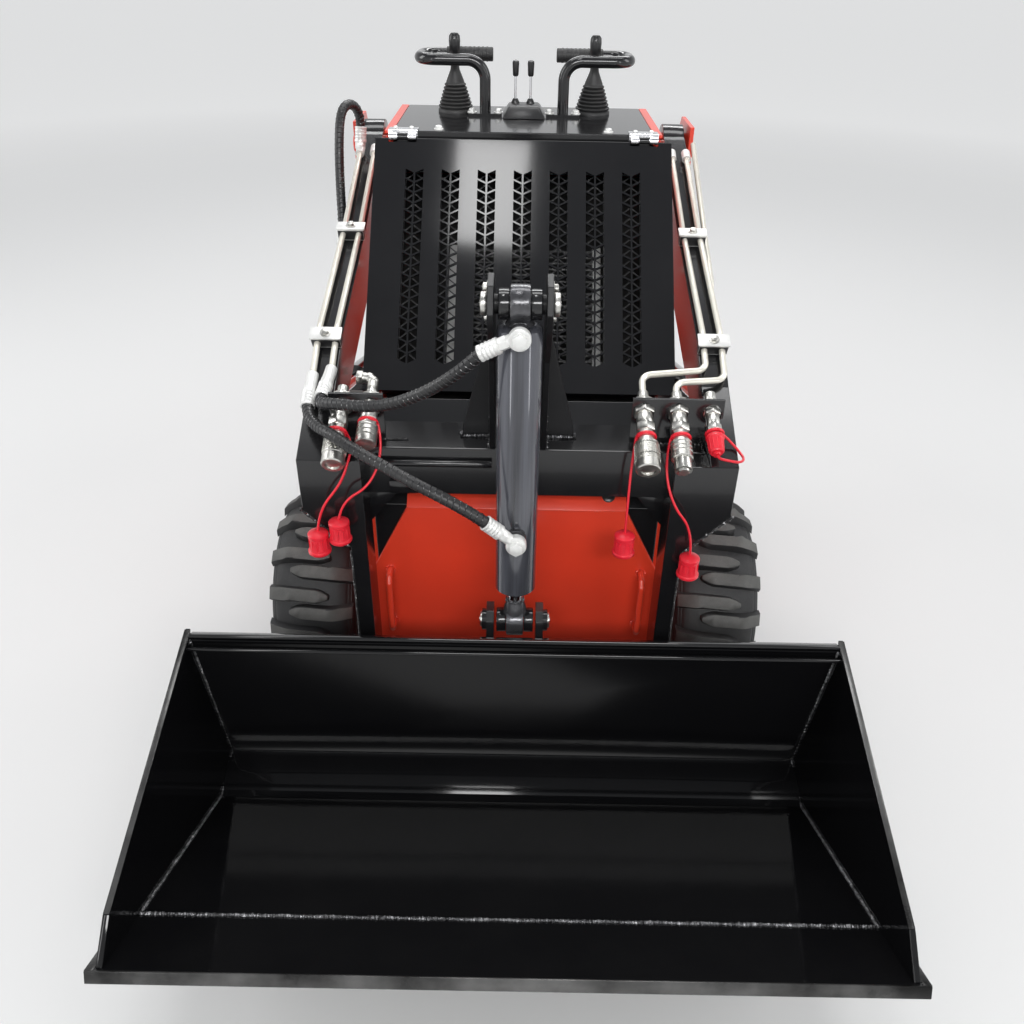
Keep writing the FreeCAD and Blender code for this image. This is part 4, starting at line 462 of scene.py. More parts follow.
def meshOf(curve, name):
    """Turns a curve into a mesh object of its own and takes the curve away."""
    bpy.context.view_layer.update()
    mesh = bpy.data.meshes.new_from_object(curve.evaluated_get(bpy.context.evaluated_depsgraph_get()))
    bpy.data.objects.remove(curve)
    mesh.name = name
    piece = bpy.data.objects.new(name, mesh)
    scene.collection.objects.link(piece)
    return piece


def smoothMesh(piece, finish, sharp=50):
    shape = bmesh.new()
    shape.from_mesh(piece.data)
    bmesh.ops.remove_doubles(shape, verts=shape.verts, dist=0.000004)
    bmesh.ops.recalc_face_normals(shape, faces=shape.faces)
    shape.to_mesh(piece.data)
    shape.free()
    piece.data.materials.clear()
    piece.data.materials.append(finishes[finish])
    piece.data.polygons.foreach_set("use_smooth", [True] * len(piece.data.polygons))
    piece.data.set_sharp_from_angle(angle=math.radians(sharp))


def walkAlong(path, step):
    """Evenly spaced points along a path, each with its heading."""
    spots = []
    left = 0.0
    for first, last in zip(path, path[1:]):
        length = (last - first).length
        while left < length:
            spots.append((first.lerp(last, left / length), (last - first).normalized()))
            left += step
        left -= length
    return spots


def spiralPoints(path, radius, pitch, perTurn=14):
    """Winding line round a path, carried along without twist."""
    side = None
    points = []
    spots = walkAlong(path, pitch / perTurn)
    for number, (place, heading) in enumerate(spots):
        if side is None:
            side = heading.orthogonal().normalized()
        side = (side - heading * side.dot(heading)).normalized()
        angle = number * math.tau / perTurn
        share = number / len(spots)
        out = radius - hose["guardSink"] * min(1.0, 4 * share, 4 * (1 - share))      # worn in along the middle
        points.append(place + (side * math.cos(angle) + heading.cross(side) * math.sin(angle)) * out)
    return points


def buildHose(label):
    points = [Vector(point) / 1000 for point in hose["runs"][label]]
    line = meshOf(curveThrough(label + "Line", points, 0.0), label + "Line")
    path = [point.co.copy() for point in line.data.vertices]
    bpy.data.objects.remove(line)
    winding = spiralPoints(path[1:-1], hose["guardRadius"], hose["guardPitch"])
    guard = meshOf(curveThrough(label + "Guard", winding, hose["guardRise"], 2, 1, 1), label + "_guard")
    smoothMesh(guard, "guardPlastic")
    if label == "arm_hose":
        tube = curveThrough("armHose", points, hose["radius"])
        tube.data.materials.append(finishes["hoseRubber"])
        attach(tube, "arm")
        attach(guard, "arm")
    else:
        tube = meshOf(curveThrough(label + "Tube", points, hose["radius"]), "hose_" + label)
        smoothMesh(tube, "hoseRubber")
        for piece in (tube, guard):
            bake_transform(piece)
    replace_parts(tube, label)
    return path


hosePaths = {label: buildHose(label) for label in hose["runs"]}
print("hoses")


# Ends of the hoses: crimped ferrules, swivel nuts and the round eyes on the tilt cylinder.

def addFerrule(shape, place, heading, length=0.034, radius=0.0135):
    """Crimped sleeve: a ribbed spin with its mouth on the hose."""
    place, heading = Vector(place), Vector(heading).normalized()
    profile = [(0.0, 0.0105), (0.0, radius - 0.001), (0.001, radius)]
    for number in range(4):
        start = 0.004 + number * (length - 0.008) / 4
        profile += [(start, radius), (start + 0.0022, radius - 0.0011), (start + 0.0044, radius)]
    profile += [(length - 0.001, radius), (length, radius - 0.001), (length, 0.008)]
    addSpin(shape, profile, place, place + heading, 28)


shape = bmesh.new()
for label in ("tilt_hose_head", "tilt_hose_rod"):
    path = hosePaths[label]
    heading = (path[-1] - path[-3]).normalized()
    addFerrule(shape, path[-1] - heading * 0.030, heading)
    addRod(shape, path[-1] + heading * 0.004, path[-1] + heading * 0.018, 0.0115, 6, 0.001)
finishPiece("cylinderFerrules", shape, "whiteZinc", "tilt_barrel")
shape = bmesh.new()
for label in ("tilt_hose_head", "tilt_hose_rod", "arm_hose"):
    path = hosePaths[label]
    heading = (path[0] - path[2]).normalized()
    addFerrule(shape, path[0] - heading * 0.026, heading)
    addRod(shape, path[0] + heading * 0.006, path[0] + heading * 0.022, 0.0122, 6, 0.001)
path = hosePaths["arm_hose"]
heading = (path[-1] - path[-3]).normalized()
addFerrule(shape, path[-1] - heading * 0.026, heading)
addRod(shape, path[-1] + heading * 0.006, path[-1] + heading * 0.022, 0.0122, 6, 0.001)
finishPiece("armFerrules", shape, "whiteZinc", "arm")


# Tilt cylinder: ribs of its gland and eye, ports, weld rings and pin heads.

base, eye = Vector((0, -0.475, 1.055)), Vector((0, -0.505, 0.460))
reach = (eye - base).length
down = (eye - base).normalized()
front = Vector((0, down.z, -down.y))                       # square to the barrel, towards the bucket


def onBarrel(along, stand, across=0.0):
    return base + down * along + front * stand + Vector((across, 0, 0))


shape = bmesh.new()                                        # barrel with its narrow cast eye; its light streaks are painted reflections in the finish
addSpin(shape, [(0.030, 0.0), (0.030, 0.024), (0.034, 0.0335), (0.038, 0.0360), (reach - 0.0775, 0.0360), (reach - 0.0765, 0.0352),
                (reach - 0.0765, 0.0300), (reach - 0.0775, 0.0292), (reach - 0.0775, 0.0150)], base, base + down, 64)
finishPiece("barrelTube", shape, "barrelPaintedReflections", "tilt_barrel")
shape = bmesh.new()
addRod(shape, base - Vector((0.0160, 0, 0)), base + Vector((0.0160, 0, 0)), 0.0305, 48, 0.0035)
addSpin(shape, [(0.014, 0.0), (0.014, 0.0185), (0.026, 0.0205), (0.032, 0.0250), (0.034, 0.0)], base, base + down, 40)
for along in (0.036, reach - 0.203):
    addRod(shape, onBarrel(along, 0.030), onBarrel(along, 0.047), 0.0165, 28, 0.0012)
finishPiece("barrelEye", shape, "castPaint", "tilt_barrel")
shape = bmesh.new()                                        # black spacers that fill the tower's fork
for side in (-1, 1):
    addRod(shape, base + Vector((side * 0.0165, 0, 0)), base + Vector((side * 0.0335, 0, 0)), 0.0235, 36, 0.0015)
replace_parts(finishPiece("barrelSpacers", shape, "blackPaint", "tilt_barrel"), "tilt_barrel")
shape = bmesh.new()
for along, stand in ((0.036, 0.066), (reach - 0.203, 0.074)):
    addRod(shape, onBarrel(along, stand - 0.019), onBarrel(along, stand - 0.003), 0.0175, 32, 0.002)
    addRod(shape, onBarrel(along, stand - 0.003), onBarrel(along, stand + 0.008), 0.0125, 6, 0.0012)
    addRod(shape, onBarrel(along, stand + 0.0076), onBarrel(along, stand + 0.0084), 0.0075, 20, 0.0003)
finishPiece("portEyes", shape, "whiteZinc", "tilt_barrel")
shape = bmesh.new()
addSpin(shape, [(reach - 0.0762, 0.016), (reach - 0.0758, 0.0225), (reach - 0.0745, 0.0225), (reach - 0.074, 0.016)],
        base, base + down, 40)
finishPiece("rodWiper", shape, "seal", "tilt_barrel")
shape = bmesh.new()                                        # chromed rod with its threaded end, then the welded eye
addSpin(shape, [(reach - 0.420, 0.0), (reach - 0.420, 0.0140), (reach - 0.046, 0.0140), (reach - 0.046, 0.0)], base, base + down, 40)
rod = finishPiece("tiltRod", shape, "chrome", "tilt_rod")
shape = bmesh.new()
addRod(shape, eye - Vector((0.0160, 0, 0)), eye + Vector((0.0160, 0, 0)), 0.0290, 48, 0.0035)
addSpin(shape, [(reach - 0.048, 0.0142), (reach - 0.047, 0.0165), (reach - 0.038, 0.0180), (reach - 0.030, 0.0205), (reach - 0.016, 0.0215),
                (reach - 0.014, 0.0)], base, base + down, 36)
ring = [onBarrel(reach - 0.047, 0.0155 * math.cos(t * math.tau / 24), 0.0155 * math.sin(t * math.tau / 24)) for t in range(25)]
addBead(shape, ring, 0.0026, 0.003)
finishPiece("rodEye", shape, "castPaint", "tilt_rod")
shape = bmesh.new()
for side in (-1, 1):
    addRod(shape, eye + Vector((side * 0.0165, 0, 0)), eye + Vector((side * 0.0335, 0, 0)), 0.0225, 36, 0.0015)
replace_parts(finishPiece("rodSpacers", shape, "blackPaint", "tilt_rod"), "tilt_rod")

shape = bmesh.new()                                        # pin ends and keeper bolts at the tower's head
for side in (-1, 1):
    addRod(shape, base + Vector((side * 0.0505, 0, 0)), base + Vector((side * 0.0608, 0, 0)), 0.0185, 32, 0.0022)
    addRod(shape, base + Vector((side * 0.0606, 0, 0)), base + Vector((side * 0.0618, 0, 0)), 0.0055, 20, 0.0004)
    addBolt(shape, (side * 0.050, -0.447, 1.071), (side, 0, 0), 0.013, 0.008)
finishPiece("tiltPinEnds", shape, "zinc", "arm")
shape = bmesh.new()
for side in (-1, 1):
    addRod(shape, eye + Vector((side * 0.059, 0, 0)), eye + Vector((side * 0.0635, 0, 0)), 0.0145, 32, 0.0015)
    addRod(shape, eye + Vector((side * 0.063, 0, 0)), eye + Vector((side * 0.0650, 0, 0)), 0.0050, 20, 0.0006)
finishPiece("rodPinEnds", shape, "zinc", "bucket")
print("tilt cylinder")


# Arms: clamps over the steel lines, couplers in their bracket, and the welds.

armTop = [(0.490, 1.112), (0.144, 0.980), (-0.188, 0.885), (-0.281, 0.832), (-0.440, 0.754)]


def overArm(along, stand=0.0):
    """Height of the boom's top at a place along the machine, and the slope there."""
    for (rear, high), (fore, low) in zip(armTop, armTop[1:]):
        if along >= fore or fore == armTop[-1][0]:
            slope = (high - low) / (rear - fore)
            return low + (along - fore) * slope + stand, math.atan(slope)


clampPlan = {"across": 0.0595, "along": 0.028, "plate": 0.0035, "blockAlong": 0.0262, "blockAcross": 0.0545,
             "places": (0.127, -0.205)}
plates, blocks, bolts = bmesh.new(), bmesh.new(), bmesh.new()
for side in (-1, 1):
    for along in clampPlan["places"]:
        height, slope = overArm(along)
        turn = Matrix.Translation((side * 0.360, along, height)) @ Matrix.Rotation(slope, 4, "X")
        addBox(blocks, (-clampPlan["blockAcross"] / 2, -clampPlan["blockAlong"] / 2, 0.0),
               (clampPlan["blockAcross"] / 2, clampPlan["blockAlong"] / 2, 0.0225), 0.001, turn)
        addBox(plates, (-clampPlan["across"] / 2, -clampPlan["along"] / 2, 0.0235),
               (clampPlan["across"] / 2, clampPlan["along"] / 2, 0.0235 + clampPlan["plate"]), 0.0009, turn)
        up = (turn.to_3x3() @ Vector((0, 0, 1))).normalized()
        addBolt(bolts, turn @ Vector((0, 0, 0.0235 + clampPlan["plate"])), up, 0.013, 0.007)
finishPiece("clampBlocks", blocks, "knobPlastic", "arm")
finishPiece("clampPlates", plates, "whiteZinc", "arm")
finishPiece("clampBolts", bolts, "zinc", "arm")

coupler = {"slope": 26.0, "plateAlong": -0.358, "height": 0.822, "length": 0.132, "cut": 0.042}
couplerDown = Vector((0, -math.cos(math.radians(coupler["slope"])), -math.sin(math.radians(coupler["slope"]))))
couplerBelow = Vector((0, math.sin(math.radians(coupler["slope"])), -math.cos(math.radians(coupler["slope"]))))


def onCoupler(across, reach, below=0.0):
    return Vector((across, coupler["plateAlong"], coupler["height"])) + couplerDown * reach + couplerBelow * below


def addSleeve(shape, across, start, length, radius=0.0192, grooves=4, knurls=0):
    """Sliding sleeve of a quick coupler: grooved spin, with rows of raised teeth where it is knurled."""
    profile = [(start, 0.0150), (start, radius - 0.0015), (start + 0.0015, radius)]
    for number in range(grooves):
        at = start + 0.004 + number * (length - 0.010) / grooves
        profile += [(at, radius), (at + 0.0012, radius - 0.0016), (at + 0.0030, radius - 0.0016), (at + 0.0042, radius)]
    profile += [(start + length - 0.002, radius), (start + length, radius - 0.002), (start + length, 0.0128),
                (start + length - 0.012, 0.0122), (start + length - 0.012, 0.0)]
    addSpin(shape, profile, onCoupler(across, 0), onCoupler(across, 1), 40)
    for row in range(knurls):
        reach = start + 0.006 + row * 0.0044
        for number in range(30):
            angle = (number + 0.5 * (row % 2)) * math.tau / 30
            out = couplerBelow * math.cos(angle) + Vector((1, 0, 0)) * math.sin(angle)
            place = onCoupler(across, reach) + out * radius
            turn = lineFrame(place, place + out)
            addBox(shape, (-0.0013, -0.0013, -0.0005), (0.0013, 0.0013, 0.0009), 0.0,
                   turn @ Matrix.Rotation(math.radians(45), 4, "Z"))


def addCouplerBody(shape, across, length, slim=False):
    wide = 0.78 if slim else 1.0
    addRod(shape, onCoupler(across, -0.038), onCoupler(across, -0.020), 0.0098, 24, 0.001)
    addRod(shape, onCoupler(across, -0.022), onCoupler(across, -0.0062), 0.0172 * wide, 6, 0.0015)
    addRod(shape, onCoupler(across, -0.008), onCoupler(across, 0.004), 0.0125, 24)
    addRod(shape, onCoupler(across, 0.0005), onCoupler(across, 0.012), 0.0195 * wide, 6, 0.0015)
    addRod(shape, onCoupler(across, 0.011), onCoupler(across, 0.034), 0.0148 * wide, 32, 0.001)
    addRod(shape, onCoupler(across, 0.033), onCoupler(across, 0.050), 0.0180 * wide, 6, 0.0015)
    addRod(shape, onCoupler(across, 0.049), onCoupler(across, length - 0.004), 0.0150 * wide, 32, 0.001)


zincWork, dark = bmesh.new(), bmesh.new()
long, short = coupler["length"], coupler["length"] - coupler["cut"]
for across, length in ((0.222, long), (0.282, long), (-0.262, short), (-0.314, long)):
    addCouplerBody(zincWork, across, length)
addCouplerBody(zincWork, 0.342, short, True)
addSleeve(zincWork, 0.222, 0.074, 0.056, 0.0212, 2, 8)     # big knurled socket, open towards the bucket
addSpin(dark, [(0.1190, 0.0125), (0.1170, 0.0)], onCoupler(0.222, 0), onCoupler(0.222, 1), 32)
addSleeve(zincWork, 0.282, 0.070, 0.036, 0.0186, 3)
addSpin(zincWork, [(0.104, 0.0150), (0.112, 0.0146), (0.116, 0.0112), (0.128, 0.0108), (0.132, 0.0092), (0.132, 0.0)],
        onCoupler(0.282, 0), onCoupler(0.282, 1), 32)
addSleeve(zincWork, -0.314, 0.076, 0.054, 0.0200, 3, 6)
addSpin(dark, [(0.1190, 0.0122), (0.1170, 0.0)], onCoupler(-0.314, 0), onCoupler(-0.314, 1), 32)
addSleeve(zincWork, -0.262, 0.048, 0.038, 0.0186, 3)
elbow = [onCoupler(-0.262, -0.030), onCoupler(-0.262, -0.052), onCoupler(-0.270, -0.060), onCoupler(-0.292, -0.062)]
for first, last in zip(elbow, elbow[1:]):
    addRod(zincWork, first, last, 0.0098, 24)
for place in elbow[1:3]:
    bmesh.ops.create_uvsphere(zincWork, u_segments=24, v_segments=12, radius=0.0104, matrix=Matrix.Translation(place))
addRod(zincWork, elbow[2] + (elbow[3] - elbow[2]) * 0.5, elbow[3], 0.0130, 6, 0.001)
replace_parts(finishPiece("couplerWork", zincWork, "zinc", "arm"), "couplers")
finishPiece("couplerMouth", dark, "seal", "arm")

# Dust caps: thin rings on the couplers, straps, and ribbed caps with domed or pointed ends.
caps = bmesh.new()
for across, reach, out in ((0.222, 0.060, 0.0158), (0.282, 0.061, 0.0158), (0.342, 0.050, 0.0142), (-0.262, 0.040, 0.0158),
                           (-0.314, 0.062, 0.0158)):
    addSpin(caps, [(reach - 0.0030, out - 0.001), (reach - 0.0026, out + 0.0022), (reach, out + 0.0032), (reach + 0.0026, out + 0.0022),
                   (reach + 0.0030, out - 0.001)], onCoupler(across, 0), onCoupler(across, 1), 36)
for across, along, height, pointed in ((0.196, -0.452, 0.600, False), (0.316, -0.464, 0.562, True),
                                       (-0.314, -0.472, 0.632, True), (-0.353, -0.474, 0.608, True)):
    top, bottom = Vector((across, along, height + 0.018)), Vector((across, along, height - 0.022))
    profile = [(-0.004, 0.0), (-0.004, 0.004), (-0.0005, 0.0165), (0.0015, 0.0185), (0.0075, 0.0185), (0.0095, 0.0168),
               (0.022, 0.0172), (0.034, 0.0186), (0.036, 0.0206), (0.040, 0.0206)]
    profile += [(0.0425, 0.0185), (0.052, 0.006), (0.055, 0.0)] if pointed else [(0.0415, 0.0195), (0.0415, 0.0155), (0.036, 0.015), (0.036, 0.0)]
    addSpin(caps, profile, top, bottom, 32)
    for number in range(12):
        angle = number * math.tau / 12
        place = Vector((across + 0.0170 * math.cos(angle), along + 0.0170 * math.sin(angle), height))
        addBox(caps, place - Vector((0.0012, 0.0012, 0.014)), place + Vector((0.0012, 0.0012, 0.006)), 0.0)
addSpin(caps, [(0.056, 0.0125), (0.056, 0.0162), (0.060, 0.0166), (0.063, 0.0146), (short - 0.003, 0.0132), (short, 0.0110),
               (short, 0.0070), (short + 0.0055, 0.0062), (short + 0.0055, 0.0)], onCoupler(0.342, 0), onCoupler(0.342, 1), 36)
for number in range(12):
    angle = number * math.tau / 12
    out = couplerBelow * math.cos(angle) + Vector((1, 0, 0)) * math.sin(angle)
    addRod(caps, onCoupler(0.342, 0.064) + out * 0.0138, onCoupler(0.342, short - 0.004) + out * 0.0128, 0.0012, 8)
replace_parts(finishPiece("dustCaps", caps, "capPlastic", "arm"), "dust_caps")

straps = {
    "strapOne": [onCoupler(0.2050, 0.060), (0.200, -0.424, 0.752), (0.196, -0.450, 0.690), (0.196, -0.452, 0.619)],
    "strapTwo": [onCoupler(0.2650, 0.061), (0.257, -0.424, 0.752), (0.272, -0.462, 0.690), (0.314, -0.466, 0.640), (0.316, -0.464, 0.581)],
    "strapFour": [onCoupler(-0.2450, 0.040), (-0.235, -0.414, 0.768), (-0.254, -0.458, 0.716), (-0.306, -0.472, 0.690),
                  (-0.314, -0.472, 0.651)],
    "strapFive": [onCoupler(-0.2970, 0.062), onCoupler(-0.290, 0.066, 0.026), (-0.290, -0.450, 0.764), (-0.304, -0.466, 0.724),
                  (-0.347, -0.474, 0.672), (-0.353, -0.474, 0.627)],
    "capLoop": [onCoupler(0.358, 0.050, 0.002), onCoupler(0.374, 0.056, 0.016), onCoupler(0.388, 0.072, 0.022),
                onCoupler(0.392, 0.094, 0.012), onCoupler(0.378, 0.112, -0.004), onCoupler(0.356, 0.112, -0.010),
                onCoupler(0.343, 0.104, -0.004), onCoupler(0.342, short + 0.005, 0.0)],
}
for label, points in straps.items():
    strap = meshOf(curveThrough(label, points, 0.0023, depth=3), label)
    smoothMesh(strap, "capPlastic")
    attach(strap, "arm")

welds = bmesh.new()
for side in (-1, 1):
    addBead(welds, [(side * 0.387, -0.4405, 0.652), (side * 0.3055, -0.4405, 0.571)], 0.0034)
    addBead(welds, [(side * 0.3045, -0.4410, 0.560), (side * 0.3045, -0.4410, 0.300)], 0.0026)
    addBead(welds, [(side * 0.335, -0.3925, 0.662), (side * 0.335, -0.3925, 0.750)], 0.0030)
    addBead(welds, [(side * 0.0515, -0.386, 0.7575), (side * 0.0515, -0.296, 0.7575)], 0.0032)
    addBead(welds, [(side * 0.0515, -0.344, 0.770), (side * 0.0515, -0.344, 0.930)], 0.0026)
    addBead(welds, [(side * 0.200, -0.3640, 0.7572), (side * 0.330, -0.3640, 0.7572)], 0.0028)
finishPiece("armWelds", welds, "paintedWeld", "arm")
welds = bmesh.new()                                         # shiny runs at the feet of the tower's gussets
for side in (-1, 1):
    addBead(welds, [(side * 0.053, -0.3465, 0.7580), (side * 0.102, -0.3465, 0.7580)], 0.0042, 0.005)
    addBead(welds, [(side * 0.102, -0.3465, 0.7580), (side * 0.103, -0.333, 0.7580)], 0.0038)
finishPiece("towerWelds", welds, "weldSteel", "arm")

shape = bmesh.new()                                        # plate gussets in the corners of legs and cross-member
for side in (-1, 1):
    cubes = bmesh.ops.create_cube(shape, size=1.0)["verts"]
    for point in cubes:
        low = point.co.z < 0
        inner = (point.co.x < 0) == (side > 0)
        point.co = Vector((side * ((0.272 if low else 0.215) if inner else 0.275), -0.372 + point.co.y * 0.008,
                           0.590 if low else 0.661))
    roundEdges(shape, cubes, 0.0012)
addRod(shape, (-0.252, -0.398, 0.728), (-0.046, -0.398, 0.728), 0.0065, 24, 0.001)
addRod(shape, (-0.256, -0.398, 0.728), (-0.250, -0.398, 0.728), 0.0115, 24, 0.001)
addBox(shape, (-0.232, -0.399, 0.664), (-0.196, -0.392, 0.690), 0.001)
finishPiece("armPlates", shape, "blackPaint", "arm")
shape = bmesh.new()
for side in (-1, 1):
    addBolt(shape, (side * 0.0510, -0.400, 1.005), (side, 0, 0), 0.013, 0.007)
    addRod(shape, (side * 0.392, -0.240, 0.775), (side * 0.3945, -0.240, 0.775), 0.0095, 24, 0.001)
    addRod(shape, (side * 0.3045, -0.440, 0.170), (side * 0.3165, -0.440, 0.170), 0.0150, 32, 0.002)
finishPiece("armBolts", shape, "zinc", "arm")
print("arms and couplers")


# Bucket: worn top edges with painted reflection patches, weld beads and the reinforcing lip.

bucketTurn = Matrix.Translation((0, -0.44, 0.17)) @ Matrix.Rotation(-math.radians(23.7), 4, "X")


def inBucket(across, along, height):
    return bucketTurn @ Vector((across, along, height))


heelLow, heelHigh, backTop = (-0.125, -0.147), (-0.0455, -0.0865), (-0.2575, 0.2155)
welds = bmesh.new()
addBead(welds, [inBucket(-0.572, -0.512, -0.1465), inBucket(0.572, -0.512, -0.1465)], 0.0036, 0.0042)
for side in (-1, 1):
    edge = side * 0.5735
    addBead(welds, [inBucket(edge, -0.512, -0.146), inBucket(edge, *heelLow), inBucket(edge, *heelHigh), inBucket(edge, *backTop)],
            0.0034, 0.0042)
    addBead(welds, [inBucket(side * 0.5862, -0.620, -0.1465), inBucket(side * 0.5862, -0.515, -0.1465)], 0.0036)
finishPiece("bucketWelds", welds, "weldSteel", "bucket")

shape = bmesh.new()                                        # rolled lip along the top, and the band in the heel
addBox(shape, (-0.5745, -0.2745, 0.199), (0.5745, -0.2565, 0.205), 0.0012, bucketTurn)
addBox(shape, (-0.5745, -0.2605, 0.2185), (0.5745, -0.2425, 0.2255), 0.0015, bucketTurn)
finishPiece("bucketLip", shape, "bucketPaint", "bucket")
shape = bmesh.new()                                        # heel rolled slightly full between its two bends
start, end = Vector(heelLow), Vector(heelHigh)
rise = Vector((start.y - end.y, end.x - start.x)).normalized()
section = [start - rise * 0.001, start]
for step in range(1, 20):
    share = step / 20
    full = 0.150 * share - 0.071 * share ** 2 if share < 0.5 else 0.0573 * (1 - (2 * share - 1) ** 1.3)
    section.append(start.lerp(end, share) + rise * full * (end - start).length)
section += [end, end - rise * 0.001]
ring = [shape.verts.new(inBucket(-0.5745, *point)) for point in section]
face = shape.faces.new(ring)
moved = bmesh.ops.extrude_face_region(shape, geom=[face])["geom"]
bmesh.ops.translate(shape, vec=(1.149, 0, 0), verts=[item for item in moved if isinstance(item, bmesh.types.BMVert)])
finishPiece("heelRoll", shape, "bucketPaint", "bucket")
shape = bmesh.new()                                        # blunt front face of the cutting edge, dark with lighter patches that are partly wear, partly painted reflection
addBox(shape, (-0.598, -0.6475, -0.1665), (0.598, -0.6435, -0.1466), 0.0012, bucketTurn)
finishPiece("edgeFront", shape, "wornEdgeAndSheen", "bucket")

shape = bmesh.new()                                        # bare steel on the side plates' upper rims and the edge's tips, its lighter patches partly wear, partly painted reflection
for side in (-1, 1):
    rim = [(-0.6105, -0.0870), (-0.2465, 0.2335)]
    first, last = [Vector(point) for point in rim]
    middle, run = (first + last) / 2, last - first
    turn = bucketTurn @ Matrix.Translation((side * 0.580, middle.x, middle.y)) @ Matrix.Rotation(math.atan2(run.y, run.x), 4, "X")
    addBox(shape, (-0.0047, -run.length / 2 + 0.004, -0.0004), (0.0047, run.length / 2 - 0.004, 0.0009), 0.0003, turn)
    addBox(shape, (side * 0.592 - 0.0062, -0.6455, -0.1472), (side * 0.592 + 0.0062, -0.600, -0.1462), 0.0003, bucketTurn)
finishPiece("bucketRims", shape, "wornEdgeAndSheen", "bucket")
print("bucket")


# Console: ribbed boots, sticks, the small levers in their housing, hinge leaves and bolts.

consoleTop = 1.170
boot = {"across": 0.158, "along": 0.467, "ribs": 7, "foot": 0.040, "neck": 0.0205, "ribHeight": 0.0075}
shape = bmesh.new()
for side in (-1, 1):
    foot = Vector((side * boot["across"], boot["along"], consoleTop))
    profile = [(0.0, 0.0), (0.0, boot["foot"]), (0.006, boot["foot"]), (0.008, boot["foot"] - 0.003)]
    for number in range(boot["ribs"]):
        share = number / (boot["ribs"] - 1)
        out = (boot["foot"] - 0.001) * (1 - share) + (boot["neck"] + 0.004) * share
        start = 0.009 + number * boot["ribHeight"]
        profile += [(start, out - 0.0035), (start + 0.0022, out), (start + 0.0048, out), (start + 0.0068, out - 0.0035)]
    profile += [(0.064, boot["neck"]), (0.088, 0.0105), (0.102, 0.0085), (0.102, 0.0)]
    addSpin(shape, profile, foot, foot + Vector((0, 0, 1)), 40)
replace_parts(finishPiece("stickBoots", shape, "bootRubber", "chassis", 60), "stick_boots")

shape = bmesh.new()
for side in (-1, 1):
    foot = Vector((side * boot["across"], boot["along"], consoleTop))
    addSpin(shape, [(0.090, 0.0), (0.090, 0.0080), (0.112, 0.0085), (0.116, 0.0110), (0.146, 0.0130), (0.156, 0.0122), (0.1615, 0.0080),
                    (0.1625, 0.0)], foot, foot + Vector((0, 0, 1)), 32)
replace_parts(finishPiece("sticks", shape, "knobPlastic", "chassis"), "control_sticks")

shape = bmesh.new()                                         # housing that tapers upwards, with a collar round each lever
points = bmesh.ops.create_cube(shape, size=1.0)["verts"]
for point in points:
    high = point.co.z > 0
    point.co = Vector((point.co.x * (0.068 if high else 0.098), 0.4275 + point.co.y * (0.066 if high else 0.104),
                       consoleTop + (0.0245 if high else 0.0)))
roundEdges(shape, points, 0.005, 30)
for across in (-0.020, 0.014):
    addSpin(shape, [(0.022, 0.010), (0.026, 0.0095), (0.034, 0.0055), (0.034, 0.0)],
            (across, 0.440, consoleTop), (across, 0.440, consoleTop + 1), 24)
    addSpin(shape, [(0.080, 0.0), (0.080, 0.0050), (0.083, 0.0066), (0.106, 0.0076), (0.111, 0.0068), (0.1135, 0.0)],
            (across, 0.440, consoleTop), (across, 0.440, consoleTop + 1), 24)
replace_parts(finishPiece("leverHousing", shape, "knobPlastic", "chassis"), "centre_controls")
shape = bmesh.new()
for across in (-0.020, 0.014):
    addRod(shape, (across, 0.440, consoleTop + 0.030), (across, 0.440, consoleTop + 0.084), 0.0028, 16)
finishPiece("leverRods", shape, "chrome", "chassis")

hingeLeaf = {"inner": 0.222, "outer": 0.284, "top": 0.0022, "depth": 0.030}
leaves, leafBolts = bmesh.new(), bmesh.new()
for side in (-1, 1):
    low, high = sorted((side * hingeLeaf["inner"], side * hingeLeaf["outer"]))
    addBox(leaves, (low, 0.2235, consoleTop - 0.0005), (high, 0.2235 + hingeLeaf["depth"], consoleTop + hingeLeaf["top"]), 0.0008)
    addBox(leaves, (low, 0.2215, consoleTop - 0.016), (high, 0.2240, consoleTop + hingeLeaf["top"]), 0.0006)
    for across in (low + 0.014, high - 0.014):
        addBolt(leafBolts, (across, 0.240, consoleTop + hingeLeaf["top"]), (0, 0, 1), 0.009, 0.004, False)
    for along, across in ((0.425, 0.058), (0.425, 0.118)):
        addBolt(leafBolts, (side * across, along, consoleTop + 0.006), (0, 0, 1), 0.014, 0.008)
    addBolt(leafBolts, (side * 0.180, 0.250, consoleTop), (0, 0, 1), 0.013, 0.007)
    addBolt(leafBolts, (side * 0.180, 0.528, consoleTop), (0, 0, 1), 0.013, 0.007)
finishPiece("hingeLeaves", leaves, "chrome", "chassis")
finishPiece("consoleBolts", leafBolts, "whiteZinc", "chassis")

gripEnd = {"across": 0.075, "along": 0.533, "height": 1.283}
shape = bmesh.new()
for side in (-1, 1):
    start = Vector((side * gripEnd["across"], gripEnd["along"], gripEnd["height"]))
    addRod(shape, start - Vector((side * 0.0015, 0, 0)), start + Vector((side * 0.105, 0, 0)), 0.0152, 32, 0.002)
    for number in range(9):
        at = start + Vector((side * (0.010 + number * 0.010), 0, 0))
        addRod(shape, at, at + Vector((side * 0.004, 0, 0)), 0.0159, 32, 0.0006)
finishPiece("railGrips", shape, "bootRubber", "chassis")
print("console")


# Hood: second layer of slats behind the slots, and the cooler that shows through them.

hood = {"hinge": Vector((0, 0.215, 1.160)), "slope": math.radians(45.9), "columns": 7, "columnPitch": 0.075, "rows": 18,
        "rowPitch": 0.0234, "start": 0.081, "slotWidth": 0.017, "slotLength": 0.0195, "lean": 0.0085, "behind": 0.013}
hoodTurn = Matrix.Translation(hood["hinge"]) @ Matrix.Rotation(hood["slope"], 4, "X")

